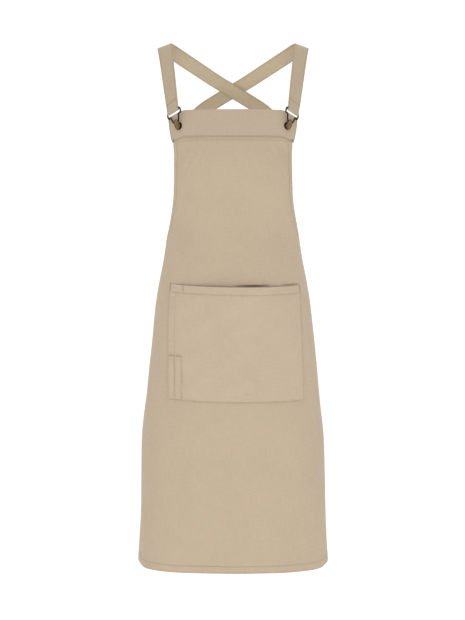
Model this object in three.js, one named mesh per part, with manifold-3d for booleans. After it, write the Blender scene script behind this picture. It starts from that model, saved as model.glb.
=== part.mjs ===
import * as THREE from "three";
import { mergeVertices } from "three/addons/utils/BufferGeometryUtils.js";
import Module from "manifold-3d";

const wasm = await Module();
wasm.setup();

// A canvas apron in the form it has when worn. Lengths are millimetres, Z is up and the front faces -Y.
// The origin is on the midplane, level with the undersides of the straps on top of the shoulders.
// Places on the cloth are given as across (along the cloth from the front midline) and down (from the
// top of the bib), and out is a distance from the cloth's outer face.

// Cloth
const clothThickness = 1.0;
const clearance = 0.3;

// Lengths down the front, from the top of the bib
const bibBelowShoulder = 127;
const apronLength = 860;
const bandDepth = 51;
const bandTuck = 13;
const armholeStart = 145;
const waistDrop = 273;
const pocketTop = 323;
const pocketHeight = 215.5;
const penHeight = 79.5;
const penInset = 2;
const eyeletDrop = 26.5;

// Half widths along the cloth, from the front midline
const bandHalf = 129;
const bibHalf = 118;
const armholeHalf = 121.5;
const waistHalf = 300;
const hemHalf = 360;
const pocketHalf = 133;
const pocketShift = 5.5;
const penWidth = 30;
const eyeletAcross = 104.5;

// The body that the cloth lies on
const bodyHalfWidth = 184;
const bodyFront = 135;
const bodyBack = 130;

// Sags, gapes and turned edges
const cornerDroop = 13;
const pocketSag = 4;
const pocketLean = 2.8;
const pocketGape = 10;
const penGape = 2;
const pocketCorner = 8;
const sideHem = 10;
const bottomHem = 15;
const hemEase = 0.4;
const foldDepth = 6;
const creaseDepth = 2.8;
const creaseReach = 26;
const foldedEdge = 0.5;
const foldedRound = 5;

// Straps
const strapWidth = 29;
const strapThickness = 1.6;
const shoulderHalf = 130.8;
const crossBack = 62;
const crossDrop = 79.6;
const strapSewn = 36;
const cornerInset = 20;

const strapHollow = 2.7;

// Hooks and eyelets. The hook leans outwards and back by these shares of its height, and turns its face
// outwards by an angle in radians.
const hookSplay = 0.25;
const hookLean = 0.38;
const hookTurn = 0.17;
const wireRadius = 1.4;
const wireSides = 6;
const hookHeight = 30.5;
const barPlay = 1.6;
const capWidth = 10.8;
const capHeight = 21;
const capThickness = 4.4;
const capRounding = 0.7;
const capRise = 2.6;
const prongWidth = 3.6;
const prongThickness = 2.0;
const prongLength = 12.5;
const prongReach = 9;
const prongTip = 1.6;
const eyeletOuter = 7.6;
const eyeletHole = 3.2;
const eyeletWall = 0.6;
const eyeletRim = 0.8;
const eyeletLip = 0.4;
const flangeThickness = 0.9;

// The form, from the top of the bib to the hem: place as a share of apronLength, half width as a share
// of bodyHalfWidth, depths as shares of bodyFront and bodyBack, and the power of its outline (2 is an
// ellipse).
const formRows = [
  { down: 0.0, side: 0.8, front: 0.705, back: 0.77, power: 2.15 },
  { down: 0.085, side: 0.815, front: 0.82, back: 0.79, power: 2.15 },
  { down: 0.13, side: 0.795, front: 0.83, back: 0.77, power: 2.2 },
  { down: 0.19, side: 0.74, front: 0.795, back: 0.69, power: 2.25 },
  { down: 0.254, side: 0.688, front: 0.758, back: 0.63, power: 2.3 },
  { down: 0.317, side: 0.722, front: 0.785, back: 0.665, power: 2.35 },
  { down: 0.371, side: 0.77, front: 0.815, back: 0.72, power: 2.4 },
  { down: 0.438, side: 0.82, front: 0.85, back: 0.8, power: 2.5 },
  { down: 0.529, side: 0.862, front: 0.885, back: 0.86, power: 2.65 },
  { down: 0.643, side: 0.915, front: 0.92, back: 0.9, power: 2.8 },
  { down: 0.734, side: 0.955, front: 0.945, back: 0.93, power: 2.95 },
  { down: 0.864, side: 0.967, front: 0.975, back: 0.965, power: 3.1 },
  { down: 0.945, side: 0.984, front: 0.99, back: 0.985, power: 3.15 },
  { down: 1.0, side: 1.0, front: 1.0, back: 1.0, power: 3.2 },
];

// Soft folds of the skirt: place and width as shares of hemHalf, depth as a share of foldDepth.
const foldRows = [
  { across: 0.57, width: 0.07, depth: -0.55 },
  { across: 0.72, width: 0.07, depth: 0.1 },
  { across: 0.86, width: 0.06, depth: -1.0 },
];

// The crease that slants from under the band to each side of the bib: its ends, as shares of bibHalf
// across and of armholeStart down.
const creaseEnds = [
  { across: 0.55, down: 0.39 },
  { across: 0.94, down: 0.98 },
];

// The strap in front, from its hook to the top of the shoulder: how far along, the bulge away from a
// straight line as a share of that length, and the way its face looks (outwards, forwards and up).
const frontStrapRows = [
  { along: 0.06, bulge: 0.006, outwards: 0.66, forwards: 0.7, up: 0.27 },
  { along: 0.15, bulge: 0.02, outwards: 0.63, forwards: 0.72, up: 0.29 },
  { along: 0.38, bulge: 0.06, outwards: 0.55, forwards: 0.76, up: 0.34 },
  { along: 0.62, bulge: 0.085, outwards: 0.49, forwards: 0.75, up: 0.45 },
  { along: 0.81, bulge: 0.08, outwards: 0.42, forwards: 0.6, up: 0.68 },
  { along: 0.93, bulge: 0.045, outwards: 0.34, forwards: 0.25, up: 0.9 },
];

// The strap from the top of the shoulder, through the crossing, to the other shoulder blade: places as
// shares of shoulderHalf, crossBack and crossDrop. It starts on its own side, where inwards is 1, and
// ends on the other, and apart is how far it is lifted off the strap it crosses.
const backStrapRows = [
  { inwards: 1.0, back: 0.0, drop: 0.0, outwards: 0.33, rear: 0.0, up: 0.94, apart: 0 },
  { inwards: 0.981, back: 0.129, drop: 0.008, outwards: 0.24, rear: 0.25, up: 0.93, apart: 0 },
  { inwards: 0.944, back: 0.242, drop: 0.045, outwards: 0.1, rear: 0.66, up: 0.74, apart: 0 },
  { inwards: 0.888, back: 0.327, drop: 0.113, outwards: 0.02, rear: 0.85, up: 0.52, apart: 0.1 },
  { inwards: 0.767, back: 0.427, drop: 0.241, outwards: 0.0, rear: 0.88, up: 0.475, apart: 0.3 },
  { inwards: 0.609, back: 0.535, drop: 0.405, outwards: 0.0, rear: 0.875, up: 0.485, apart: 0.6 },
  { inwards: 0.451, back: 0.65, drop: 0.565, outwards: 0.0, rear: 0.86, up: 0.51, apart: 0.9 },
  { inwards: 0.228, back: 0.816, drop: 0.791, outwards: 0.0, rear: 0.825, up: 0.565, apart: 1 },
  { inwards: 0.0, back: 1.0, drop: 1.0, outwards: 0.0, rear: 0.82, up: 0.572, apart: 1 },
  { inwards: -0.226, back: 1.187, drop: 1.211, outwards: 0.0, rear: 0.82, up: 0.572, apart: 1 },
  { inwards: -0.424, back: 1.344, drop: 1.407, outwards: -0.03, rear: 0.84, up: 0.54, apart: 0.9 },
  { inwards: -0.553, back: 1.432, drop: 1.589, outwards: -0.2, rear: 0.89, up: 0.4, apart: 0.5 },
  { inwards: -0.682, back: 1.476, drop: 1.891, outwards: -0.43, rear: 0.87, up: 0.2, apart: 0 },
  { inwards: -0.765, back: 1.435, drop: 2.462, outwards: -0.57, rear: 0.82, up: 0.05, apart: 0 },
];

// The rest of the strap, from that shoulder blade to the waist corner.
const lowerStrapRows = [
  { along: 0.33, bulge: 0.03 },
  { along: 0.66, bulge: 0.025 },
];

// The wire frame of a hook, round from the middle of its bar: across as a share of half the bar, and up as
// a share of hookHeight, from the eyelet's centre.
const wireRows = [
  { across: 0.0, up: 1.0 },
  { across: 0.6, up: 1.0 },
  { across: 0.95, up: 1.0 },
  { across: 1.02, up: 0.95 },
  { across: 1.01, up: 0.74 },
  { across: 0.94, up: 0.68 },
  { across: 0.74, up: 0.69 },
  { across: 0.65, up: 0.66 },
  { across: 0.47, up: 0.37 },
  { across: 0.25, up: 0.15 },
  { across: 0.205, up: 0.03 },
  { across: 0.185, up: -0.07 },
  { across: 0.11, up: -0.145 },
  { across: 0.0, up: -0.175 },
];

// Smooth value of one column of a table, between its rows.
function readTable(rows, keyColumn, place, column) {
  let i = 0;
  while (i < rows.length - 2 && place > rows[i + 1][keyColumn]) i++;
  const [a, b] = [rows[i], rows[i + 1]];
  const span = b[keyColumn] - a[keyColumn];
  const slope = (p, q) => (q[column] - p[column]) / (q[keyColumn] - p[keyColumn]);
  const slopeA = i > 0 ? slope(rows[i - 1], b) : slope(a, b);
  const slopeB = i < rows.length - 2 ? slope(a, rows[i + 2]) : slope(a, b);
  const u = THREE.MathUtils.clamp((place - a[keyColumn]) / span, 0, 1);
  const [u2, u3] = [u * u, u * u * u];
  return (
    (2 * u3 - 3 * u2 + 1) * a[column] +
    (u3 - 2 * u2 + u) * span * slopeA +
    (3 * u2 - 2 * u3) * b[column] +
    (u3 - u2) * span * slopeB
  );
}

// The outline of the form at one height, with the distance along it from the front midline.
const outlineSteps = 180;
function outlineAt(down) {
  const read = (column) => readTable(formRows, "down", down / apronLength, column);
  const outline = {
    side: read("side") * bodyHalfWidth,
    front: read("front") * bodyFront,
    back: read("back") * bodyBack,
    power: read("power"),
    points: [],
    along: [0],
  };
  for (let i = 0; i <= outlineSteps; i++) {
    const turn = (Math.PI * i) / outlineSteps;
    const depth = turn < Math.PI / 2 ? outline.front : outline.back;
    const reach =
      (Math.sin(turn) / outline.side) ** outline.power + Math.abs(Math.cos(turn) / depth) ** outline.power;
    const radius = reach ** (-1 / outline.power);
    outline.points.push(new THREE.Vector2(radius * Math.sin(turn), -radius * Math.cos(turn)));
    if (i === 0) continue;
    outline.along.push(outline.along[i - 1] + outline.points[i].distanceTo(outline.points[i - 1]));
  }
  return outline;
}

// How far the cloth outside a slanting crease of the bib is set back.
const onBib = (end) => new THREE.Vector2(end.across * bibHalf, end.down * armholeStart);
const creasePoints = creaseEnds.map(onBib);
const creaseRun = creasePoints[1].clone().sub(creasePoints[0]).normalize();
const creaseLength = creasePoints[0].distanceTo(creasePoints[1]);
function creaseAt(across, down) {
  const from = new THREE.Vector2(Math.abs(across), down).sub(creasePoints[0]);
  const along = from.dot(creaseRun);
  const outside = from.x * creaseRun.y - from.y * creaseRun.x;
  const begun = THREE.MathUtils.smoothstep(down, bandDepth, bandDepth + creaseReach);
  const ended = THREE.MathUtils.smoothstep(along, creaseLength, creaseLength + 2 * creaseReach);
  return creaseDepth * begun * (1 - ended) * THREE.MathUtils.smoothstep(outside, 0, creaseReach);
}

// How far the folds push the cloth out. Those of the skirt start below the waist and are full at the hem.
function foldAt(across, down) {
  const grown = THREE.MathUtils.smoothstep(down, waistDrop + pocketHeight / 2, apronLength);
  let out = 0;
  for (const fold of foldRows) {
    const away = (Math.abs(across) / hemHalf - fold.across) / fold.width;
    out += fold.depth * foldDepth * Math.exp(-away * away);
  }
  return out * grown - creaseAt(across, down);
}

// How far the top corners of the bib hang below its middle.
function droopAt(across, down) {
  const outwards = THREE.MathUtils.smoothstep(Math.abs(across), bandHalf * 0.7, bandHalf * 1.04);
  const fading = 1 - THREE.MathUtils.smoothstep(down, bandDepth, armholeStart);
  return cornerDroop * outwards * fading;
}

// Half width of the cloth at one height: band, bib, armhole (a quarter ellipse), skirt.
const bandTaper = 1.6;
function halfWidth(down) {
  if (down <= bandDepth) return THREE.MathUtils.lerp(bandHalf, bibHalf, (down / bandDepth) ** bandTaper);
  if (down <= armholeStart) {
    return THREE.MathUtils.lerp(bibHalf, armholeHalf, (down - bandDepth) / (armholeStart - bandDepth));
  }
  if (down < waistDrop) {
    const fallen = (down - armholeStart) / (waistDrop - armholeStart);
    return armholeHalf + (waistHalf - armholeHalf) * (1 - Math.sqrt(1 - fallen * fallen));
  }
  return THREE.MathUtils.lerp(waistHalf, hemHalf, (down - waistDrop) / (apronLength - waistDrop));
}

const spaced = (from, to, steps) =>
  Array.from({ length: steps + 1 }, (_, i) => THREE.MathUtils.lerp(from, to, i / steps));

// The lattice of flat facets that every piece of cloth shares, so that layers lie parallel: lines up and
// down the cloth at halfLines, and level lines at levels, close together where the armhole turns back.
const bibFacets = 6;
const wrapFacets = 12;
const edgeFacets = 4;
const armholeFacets = 11;
const skirtFacets = 18;
const halfLines = [
  ...spaced(0, bibHalf, bibFacets),
  ...spaced(bibHalf, waistHalf, wrapFacets).slice(1),
  ...spaced(waistHalf, hemHalf, edgeFacets).slice(1),
];
const lines = [...halfLines.slice(1).reverse().map((line) => -line), ...halfLines];
const armholeTurns = spaced(0, Math.PI / 2, armholeFacets).slice(1);
const levels = [
  0,
  ...spaced(bandDepth, armholeStart, 4),
  ...armholeTurns.map((turn) => armholeStart + (waistDrop - armholeStart) * Math.sin(turn)),
  ...spaced(waistDrop, apronLength, skirtFacets).slice(1),
];

// The lattice's lines or levels between two places, with those places themselves.
const between = (places, from, to) => [from, ...places.filter((p) => p > from + 0.5 && p < to - 0.5), to];

// The corner of a facet, on the smooth form, and the direction the cloth looks there.
const facetCorners = new Map();
function facetCorner(line, level) {
  const key = line + ":" + level;
  if (facetCorners.has(key)) return facetCorners.get(key);
  const [across, down] = [halfLines[line], levels[level]];
  const outline = outlineAt(down);
  let i = 0;
  while (i < outlineSteps - 1 && outline.along[i + 1] < across) i++;
  const share = (across - outline.along[i]) / (outline.along[i + 1] - outline.along[i]);
  const flat = outline.points[i].clone().lerp(outline.points[i + 1], share);
  const depth = flat.y < 0 ? outline.front : outline.back;
  const facing = new THREE.Vector3(
    Math.abs(flat.x / outline.side) ** (outline.power - 1) / outline.side,
    (Math.sign(flat.y) * Math.abs(flat.y / depth) ** (outline.power - 1)) / depth,
    0,
  ).normalize();
  const point = new THREE.Vector3(flat.x, flat.y, -bibBelowShoulder - down - droopAt(across, down));
  point.addScaledVector(facing, foldAt(across, down));
  facetCorners.set(key, { point, facing });
  return facetCorners.get(key);
}

// A place on the cloth, and the direction its outer face looks there.
function clothPoint(across, down, out) {
  const distance = Math.abs(across);
  const line = halfLines.findLastIndex((place) => place <= distance && place < hemHalf);
  const level = levels.findLastIndex((place) => place <= down && place < apronLength);
  const alongLine = (distance - halfLines[line]) / (halfLines[line + 1] - halfLines[line]);
  const alongLevel = (down - levels[level]) / (levels[level + 1] - levels[level]);
  const onLevel = (at) => {
    const [near, far] = [facetCorner(line, at), facetCorner(line + 1, at)];
    const lift = (corner) => corner.point.clone().addScaledVector(corner.facing, out);
    const facing = near.facing.clone().lerp(far.facing, alongLine);
    return { point: lift(near).lerp(lift(far), alongLine), facing };
  };
  const [upper, lower] = [onLevel(level), onLevel(level + 1)];
  const point = upper.point.lerp(lower.point, alongLevel);
  const facing = upper.facing.lerp(lower.facing, alongLevel).normalize();
  if (across < 0) {
    point.x = -point.x;
    facing.x = -facing.x;
  }
  return { point, facing };
}

// The same place with the direction square to the cloth, its lean included.
function clothFrame(across, down, out) {
  const reach = 2;
  const at = (right, below) => clothPoint(across + right, down + below, out).point;
  const facing = at(reach, 0).sub(at(-reach, 0)).cross(at(0, -reach).sub(at(0, reach))).normalize();
  return { point: at(0, 0), facing };
}

// A closed geometry from points and triangles, with its faces turned outwards. Points that fall together
// are joined, and triangles that shrink to a line there are dropped.
function closedGeometry(points, triangles) {
  const places = new Map();
  const joined = points.map((point) => {
    const key = point.toArray().map((value) => value.toFixed(3)).join();
    if (!places.has(key)) places.set(key, places.size);
    return places.get(key);
  });
  const corners = [];
  points.forEach((point, i) => (corners[joined[i]] = point));
  const faces = triangles
    .map((triangle) => triangle.map((i) => joined[i]))
    .filter(([a, b, c]) => a !== b && b !== c && c !== a);
  let volume = 0;
  for (const [a, b, c] of faces) volume += corners[a].clone().cross(corners[b]).dot(corners[c]);
  const geometry = new THREE.BufferGeometry().setFromPoints(corners);
  geometry.setIndex((volume < 0 ? faces.map(([a, b, c]) => [a, c, b]) : faces).flat());
  geometry.computeVertexNormals();
  return geometry;
}

// A wall of cloth from a grid of outer points and a grid of inner points.
function wall(outer, inner) {
  const rows = outer.length;
  const columns = outer[0].length;
  const points = [...outer.flat(), ...inner.flat()];
  const at = (layer, r, c) => layer * rows * columns + r * columns + c;
  const triangles = [];
  const quad = (a, b, c, d) => triangles.push([a, b, c], [a, c, d]);
  for (let r = 0; r < rows - 1; r++)
    for (let c = 0; c < columns - 1; c++) {
      quad(at(0, r, c), at(0, r + 1, c), at(0, r + 1, c + 1), at(0, r, c + 1));
      quad(at(1, r, c), at(1, r, c + 1), at(1, r + 1, c + 1), at(1, r + 1, c));
    }
  for (let c = 0; c < columns - 1; c++) {
    quad(at(0, 0, c), at(0, 0, c + 1), at(1, 0, c + 1), at(1, 0, c));
    quad(at(0, rows - 1, c), at(1, rows - 1, c), at(1, rows - 1, c + 1), at(0, rows - 1, c + 1));
  }
  for (let r = 0; r < rows - 1; r++) {
    quad(at(0, r, 0), at(1, r, 0), at(1, r + 1, 0), at(0, r + 1, 0));
    const last = columns - 1;
    quad(at(0, r, last), at(0, r + 1, last), at(1, r + 1, last), at(1, r, last));
  }
  return closedGeometry(points, triangles);
}

// A solid through a run of sections, closed on itself, or capped with the given flat outline.
function sweep(sections, capOutline) {
  const count = sections[0].length;
  const triangles = [];
  const steps = capOutline ? sections.length - 1 : sections.length;
  for (let i = 0; i < steps; i++)
    for (let j = 0; j < count; j++) {
      const [here, next] = [i * count, ((i + 1) % sections.length) * count];
      const k = (j + 1) % count;
      triangles.push([here + j, next + j, next + k], [here + j, next + k, here + k]);
    }
  if (capOutline) {
    const last = (sections.length - 1) * count;
    const turned = THREE.ShapeUtils.isClockWise(capOutline);
    for (const [a, b, c] of THREE.ShapeUtils.triangulateShape(capOutline, [])) {
      triangles.push(turned ? [c, b, a] : [a, b, c]);
      triangles.push(turned ? [last + a, last + b, last + c] : [last + c, last + b, last + a]);
    }
  }
  return closedGeometry(sections.flat(), triangles);
}

function toSolid(geometry) {
  const bare = new THREE.BufferGeometry();
  bare.setAttribute("position", geometry.getAttribute("position"));
  bare.setIndex(geometry.getIndex());
  const merged = mergeVertices(bare, 1e-4);
  return new wasm.Manifold(
    new wasm.Mesh({
      numProp: 3,
      vertProperties: new Float32Array(merged.getAttribute("position").array),
      triVerts: new Uint32Array(merged.getIndex().array),
    }),
  );
}

function fromSolid(solid) {
  const mesh = solid.getMesh();
  const geometry = new THREE.BufferGeometry();
  geometry.setAttribute("position", new THREE.BufferAttribute(new Float32Array(mesh.vertProperties), 3));
  geometry.setIndex(new THREE.BufferAttribute(new Uint32Array(mesh.triVerts), 1));
  geometry.computeVertexNormals();
  return geometry;
}

// A wall of cloth on the form, from its rows of places and the offset of its outer face.
function clothWall(placeRows, outAt) {
  const layer = (inset) =>
    placeRows.map((row) =>
      row.map(([across, down]) => clothPoint(across, down, outAt(across, down) - inset).point),
    );
  return wall(layer(0), layer(clothThickness));
}

// Main panel. Its top is tucked into the band. Lines past its edge end on the edge.
const panelTop = bandDepth - bandTuck;
const panelEdge = (down) => halfWidth(Math.max(down, bandDepth));
const clampedLines = (edge) => lines.map((line) => THREE.MathUtils.clamp(line, -edge, edge));
const apronBody = clothWall(
  between(levels, panelTop, apronLength).map((down) =>
    clampedLines(panelEdge(down)).map((across) => [across, down]),
  ),
  () => 0,
);

// Top band: doubled canvas folded over the bib, with a slot that takes the top of the panel.
const bandFace = clearance + clothThickness;
const bandRear = -(2 * clothThickness + clearance);
const slotEnd = panelTop - clearance;
const bandOutline = [
  [bandFace, bandDepth],
  [bandFace, foldedRound],
  [bandFace - foldedEdge, foldedRound / 4],
  [(bandFace + bandRear) / 2, 0],
  [bandRear + foldedEdge, foldedRound / 4],
  [bandRear, foldedRound],
  [bandRear, bandDepth],
  [bandRear + clothThickness, bandDepth],
  [bandRear + clothThickness, slotEnd],
  [clearance, slotEnd],
  [clearance, bandDepth],
].map(([out, down]) => new THREE.Vector2(out, down));
const bandLines = between(lines, -bandHalf, bandHalf);
const onBand = (line, down) => THREE.MathUtils.clamp(line, -halfWidth(down), halfWidth(down));
const bandSections = bandLines.map((line) =>
  bandOutline.map(({ x: out, y: down }) => clothPoint(onBand(line, down), down, out).point),
);

// Frame of a hook: on the band at the eyelet, with its bar up towards the shoulder.
function hookFrame(side) {
  const { point, facing } = clothFrame(side * eyeletAcross, eyeletDrop, bandFace);
  const up = new THREE.Vector3(side * hookSplay, hookLean, 1).normalize();
  const flat = facing.clone().addScaledVector(up, -facing.dot(up)).normalize();
  const flatOuter = new THREE.Vector3().crossVectors(flat, up).multiplyScalar(-side);
  const out = flat.multiplyScalar(Math.cos(hookTurn)).addScaledVector(flatOuter, Math.sin(hookTurn));
  const outer = new THREE.Vector3().crossVectors(out, up).multiplyScalar(-side);
  const level = flangeThickness + 2 * clearance + capThickness / 2 + (capWidth / 2) * Math.sin(hookTurn);
  const place = (across, height, lift) =>
    point
      .clone()
      .addScaledVector(outer, across)
      .addScaledVector(up, height)
      .addScaledVector(out, level + lift);
  return { point, facing, up, out, outer, place };
}

// Eyelets: a barrel through the band with a rolled flange in front and behind, turned about Z.
const frontFlange = clearance;
const rearFlange = -(bandFace - bandRear) - clearance;
const barrelRadius = eyeletHole + eyeletWall;
const frontFace = frontFlange + flangeThickness;
const rearFace = rearFlange - flangeThickness;
const eyeletProfile = [
  [eyeletHole, rearFace + eyeletLip],
  [eyeletHole, frontFace - eyeletLip],
  [barrelRadius + eyeletLip, frontFace],
  [eyeletOuter - eyeletRim, frontFace],
  [eyeletOuter, frontFlange + eyeletLip / 2],
  [eyeletOuter, frontFlange],
  [barrelRadius, frontFlange],
  [barrelRadius, rearFlange],
  [eyeletOuter, rearFlange],
  [eyeletOuter, rearFlange - eyeletLip / 2],
  [eyeletOuter - eyeletRim, rearFace],
  [barrelRadius + eyeletLip, rearFace],
  [eyeletHole, rearFace + eyeletLip],
]
  .map(([radius, level]) => new THREE.Vector2(radius, level))
  .reverse();
const eyeletSides = 16;

function turnTo(object, zAxis) {
  object.quaternion.setFromUnitVectors(new THREE.Vector3(0, 0, 1), zAxis);
}

// The band's solid, with a hole for each eyelet.
let bandSolid = toSolid(sweep(bandSections, bandOutline));
const punchLength = 4 * (bandFace - bandRear);
for (const side of [-1, 1]) {
  const { point, facing } = hookFrame(side);
  const punchRadius = barrelRadius + clearance;
  const punch = new THREE.Mesh(
    new THREE.CylinderGeometry(punchRadius, punchRadius, punchLength, eyeletSides),
  );
  punch.geometry.rotateX(Math.PI / 2);
  turnTo(punch, facing);
  punch.position.copy(point);
  punch.updateMatrix();
  bandSolid = bandSolid.subtract(toSolid(punch.geometry.applyMatrix4(punch.matrix)));
}
const bibBand = fromSolid(bandSolid);

// Turned hems, each a strip of the same cloth folded to the inside along an edge.
const hemOut = -(clothThickness + clearance + hemEase);
const hemStart = bandDepth + clearance;
function edgeStrip(side, edgePlaces, width) {
  return edgePlaces.map(([across, down], i) => {
    const before = edgePlaces[Math.max(i - 1, 0)];
    const after = edgePlaces[Math.min(i + 1, edgePlaces.length - 1)];
    const run = new THREE.Vector2(after[0] - before[0], after[1] - before[1]).normalize();
    return [0, 0.5, 1].map((share) => [
      side * (across - run.y * width * share),
      down + Math.abs(run.x) * width * share,
    ]);
  });
}
function bibHem(side) {
  const edge = between(levels, hemStart, waistDrop).map((down) => [halfWidth(down), down]);
  return clothWall(edgeStrip(side, edge, sideHem), () => hemOut);
}
function backHem(side) {
  const from = waistDrop + sideHem + clearance;
  const to = apronLength - bottomHem - clearance;
  const edge = between(levels, from, to).map((down) => [halfWidth(down), down]);
  const strip = edge.map(([across, down]) =>
    [1, 0.5, 0].map((share) => [side * (across - sideHem * share), down]),
  );
  return clothWall(strip, () => hemOut);
}
const bottomHemWall = clothWall(
  [apronLength - bottomHem, apronLength].map((down) =>
    clampedLines(halfWidth(down)).map((across) => [across, down]),
  ),
  () => hemOut,
);

// Patch pocket: it lies on the panel at its sides and bottom, and its mouth gapes in the middle.
const pocketShare = (across) => THREE.MathUtils.clamp((across - pocketShift) / pocketHalf, -1, 1);
const pocketHollow = (across) => 1 - pocketShare(across) ** 2;
const pocketLeaned = (across) => (pocketLean * (1 + pocketShare(across))) / 2;
const pocketMouth = (across) => pocketTop + pocketSag * pocketHollow(across) + pocketLeaned(across);
function pocketFoot(across) {
  const pastCorner = Math.abs(pocketShare(across)) * pocketHalf - (pocketHalf - pocketCorner);
  const rounding = Math.max(0, pastCorner);
  const lifted = pocketCorner - Math.sqrt(Math.max(0, pocketCorner ** 2 - rounding ** 2));
  const level = pocketTop + pocketHeight + pocketLeaned(across);
  return level + 0.75 * pocketSag * pocketHollow(across) - lifted;
}
function pocketOut(across, down) {
  const fallen = THREE.MathUtils.clamp((down - pocketTop) / pocketHeight, 0, 1);
  const gape = pocketGape * pocketHollow(across) ** 1.5 * (1 - fallen) ** 2;
  return clearance + clothThickness + gape;
}
const pocketSides = [pocketShift - pocketHalf, pocketShift + pocketHalf];
const roundedBy = [0, 0.3, 0.65].map((share) => share * pocketCorner);
const pocketLines = [
  ...roundedBy.map((inset) => pocketSides[0] + inset),
  ...between(lines, pocketSides[0] + pocketCorner, pocketSides[1] - pocketCorner),
  ...roundedBy.map((inset) => pocketSides[1] - inset).reverse(),
];
const pocketLowest = pocketTop + pocketHeight - pocketCorner;
const pocketLevels = between(levels, pocketTop + pocketSag + pocketLean, pocketLowest).slice(1, -1);
const pocket = clothWall(
  [
    pocketLines.map((across) => [across, pocketMouth(across)]),
    ...pocketLevels.map((down) => pocketLines.map((across) => [across, down])),
    pocketLines.map((across) => [across, pocketFoot(across)]),
  ],
  pocketOut,
);

// Pen pocket: a narrow patch in the lower corner of the pocket, sewn down the middle into two.
const penOuter = pocketShift - pocketHalf + penInset;
const penFoot = pocketTop + pocketHeight - penInset;
function penOut(across, down) {
  const share = (across - penOuter) / penWidth;
  const bulge = Math.abs(Math.sin(2 * Math.PI * share));
  const fallen = THREE.MathUtils.clamp((down - penFoot + penHeight) / penHeight, 0, 1);
  return pocketOut(across, down) + clearance + clothThickness + penGape * bulge * (1 - fallen);
}
const penPocket = clothWall(
  between(levels, penFoot - penHeight, penFoot).map((down) =>
    spaced(penOuter, penOuter + penWidth, 8).map((across) => [across, down]),
  ),
  penOut,
);

// A closed tube through planar points, with its section turned along the run.
function ring(points, normal, radius, sides) {
  const sections = points.map((point, i) => {
    const before = points[(i + points.length - 1) % points.length];
    const after = points[(i + 1) % points.length];
    const run = after.clone().sub(before).normalize();
    const aside = new THREE.Vector3().crossVectors(run, normal).normalize();
    return Array.from({ length: sides }, (_, k) => {
      const turn = (2 * Math.PI * (k + 0.5)) / sides;
      return point
        .clone()
        .addScaledVector(aside, radius * Math.cos(turn))
        .addScaledVector(normal, radius * Math.sin(turn));
    });
  });
  return sweep(sections, null);
}

// Hook: a wire frame with a wide bar, closed inside an oval cap with a prong behind it.
const barHalf = strapWidth / 2 + barPlay;
const wireSteps = 52;
const channelSides = 8;
const capSegments = 10;
function hookPieces(side) {
  const frame = hookFrame(side);
  const half = wireRows.map((row) => [row.across * barHalf, row.up * hookHeight]);
  const mirrored = half.slice(1, -1).reverse().map(([across, height]) => [-across, height]);
  const knots = [...half, ...mirrored].map(([across, height]) => frame.place(across, height, 0));
  const curve = new THREE.CatmullRomCurve3(knots, true, "centripetal");
  const path = curve.getSpacedPoints(wireSteps).slice(0, -1);
  const wire = ring(path, frame.out, wireRadius, wireSides);
  const channel = toSolid(ring(path, frame.out, wireRadius + clearance, channelSides));

  const oval = new THREE.Shape();
  oval.absellipse(0, 0, capWidth / 2 - capRounding, capHeight / 2 - capRounding, 0, 2 * Math.PI);
  const body = new THREE.ExtrudeGeometry(oval, {
    depth: capThickness - 2 * capRounding,
    curveSegments: capSegments,
    bevelThickness: capRounding,
    bevelSize: capRounding,
    bevelSegments: 2,
  });
  body.translate(0, capRise, capRounding - capThickness / 2);
  const shaft = new THREE.BoxGeometry(prongWidth, prongThickness, prongLength);
  shaft.translate(0, 0, -prongLength / 2);
  const tip = new THREE.BoxGeometry(prongWidth, prongReach, prongTip);
  tip.translate(0, (prongReach - prongThickness) / 2, prongTip / 2 - prongLength);
  const rightwards = frame.outer.clone().multiplyScalar(side);
  const toPlace = new THREE.Matrix4().makeBasis(rightwards, frame.up, frame.out);
  toPlace.setPosition(frame.place(0, 0, 0));
  const placed = (geometry) => toSolid(geometry.applyMatrix4(toPlace));
  const cap = placed(body).subtract(channel).add(placed(shaft)).add(placed(tip));
  return { wire, cap: fromSolid(cap) };
}

// Strap: a ribbon along stations, each a point and the way its face looks there.
const stepsBetweenStations = 3;
const strapCorners = [
  new THREE.Vector2(-1, -1),
  new THREE.Vector2(1, -1),
  new THREE.Vector2(1, 1),
  new THREE.Vector2(-1, 1),
];
function ribbon(stations) {
  const path = new THREE.CatmullRomCurve3(stations.map((s) => s.point));
  const faces = new THREE.CatmullRomCurve3(stations.map((s) => s.facing));
  const steps = (stations.length - 1) * stepsBetweenStations;
  const sections = spaced(0, 1, steps).map((u) => {
    const point = path.getPoint(u);
    const run = path.getTangent(u);
    const facing = faces.getPoint(u);
    facing.addScaledVector(run, -facing.dot(run)).normalize();
    const aside = new THREE.Vector3().crossVectors(run, facing);
    return strapCorners.map((corner) =>
      point
        .clone()
        .addScaledVector(aside, (corner.x * strapWidth) / 2)
        .addScaledVector(facing, (corner.y * strapThickness) / 2),
    );
  });
  return sweep(sections, strapCorners);
}

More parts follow.
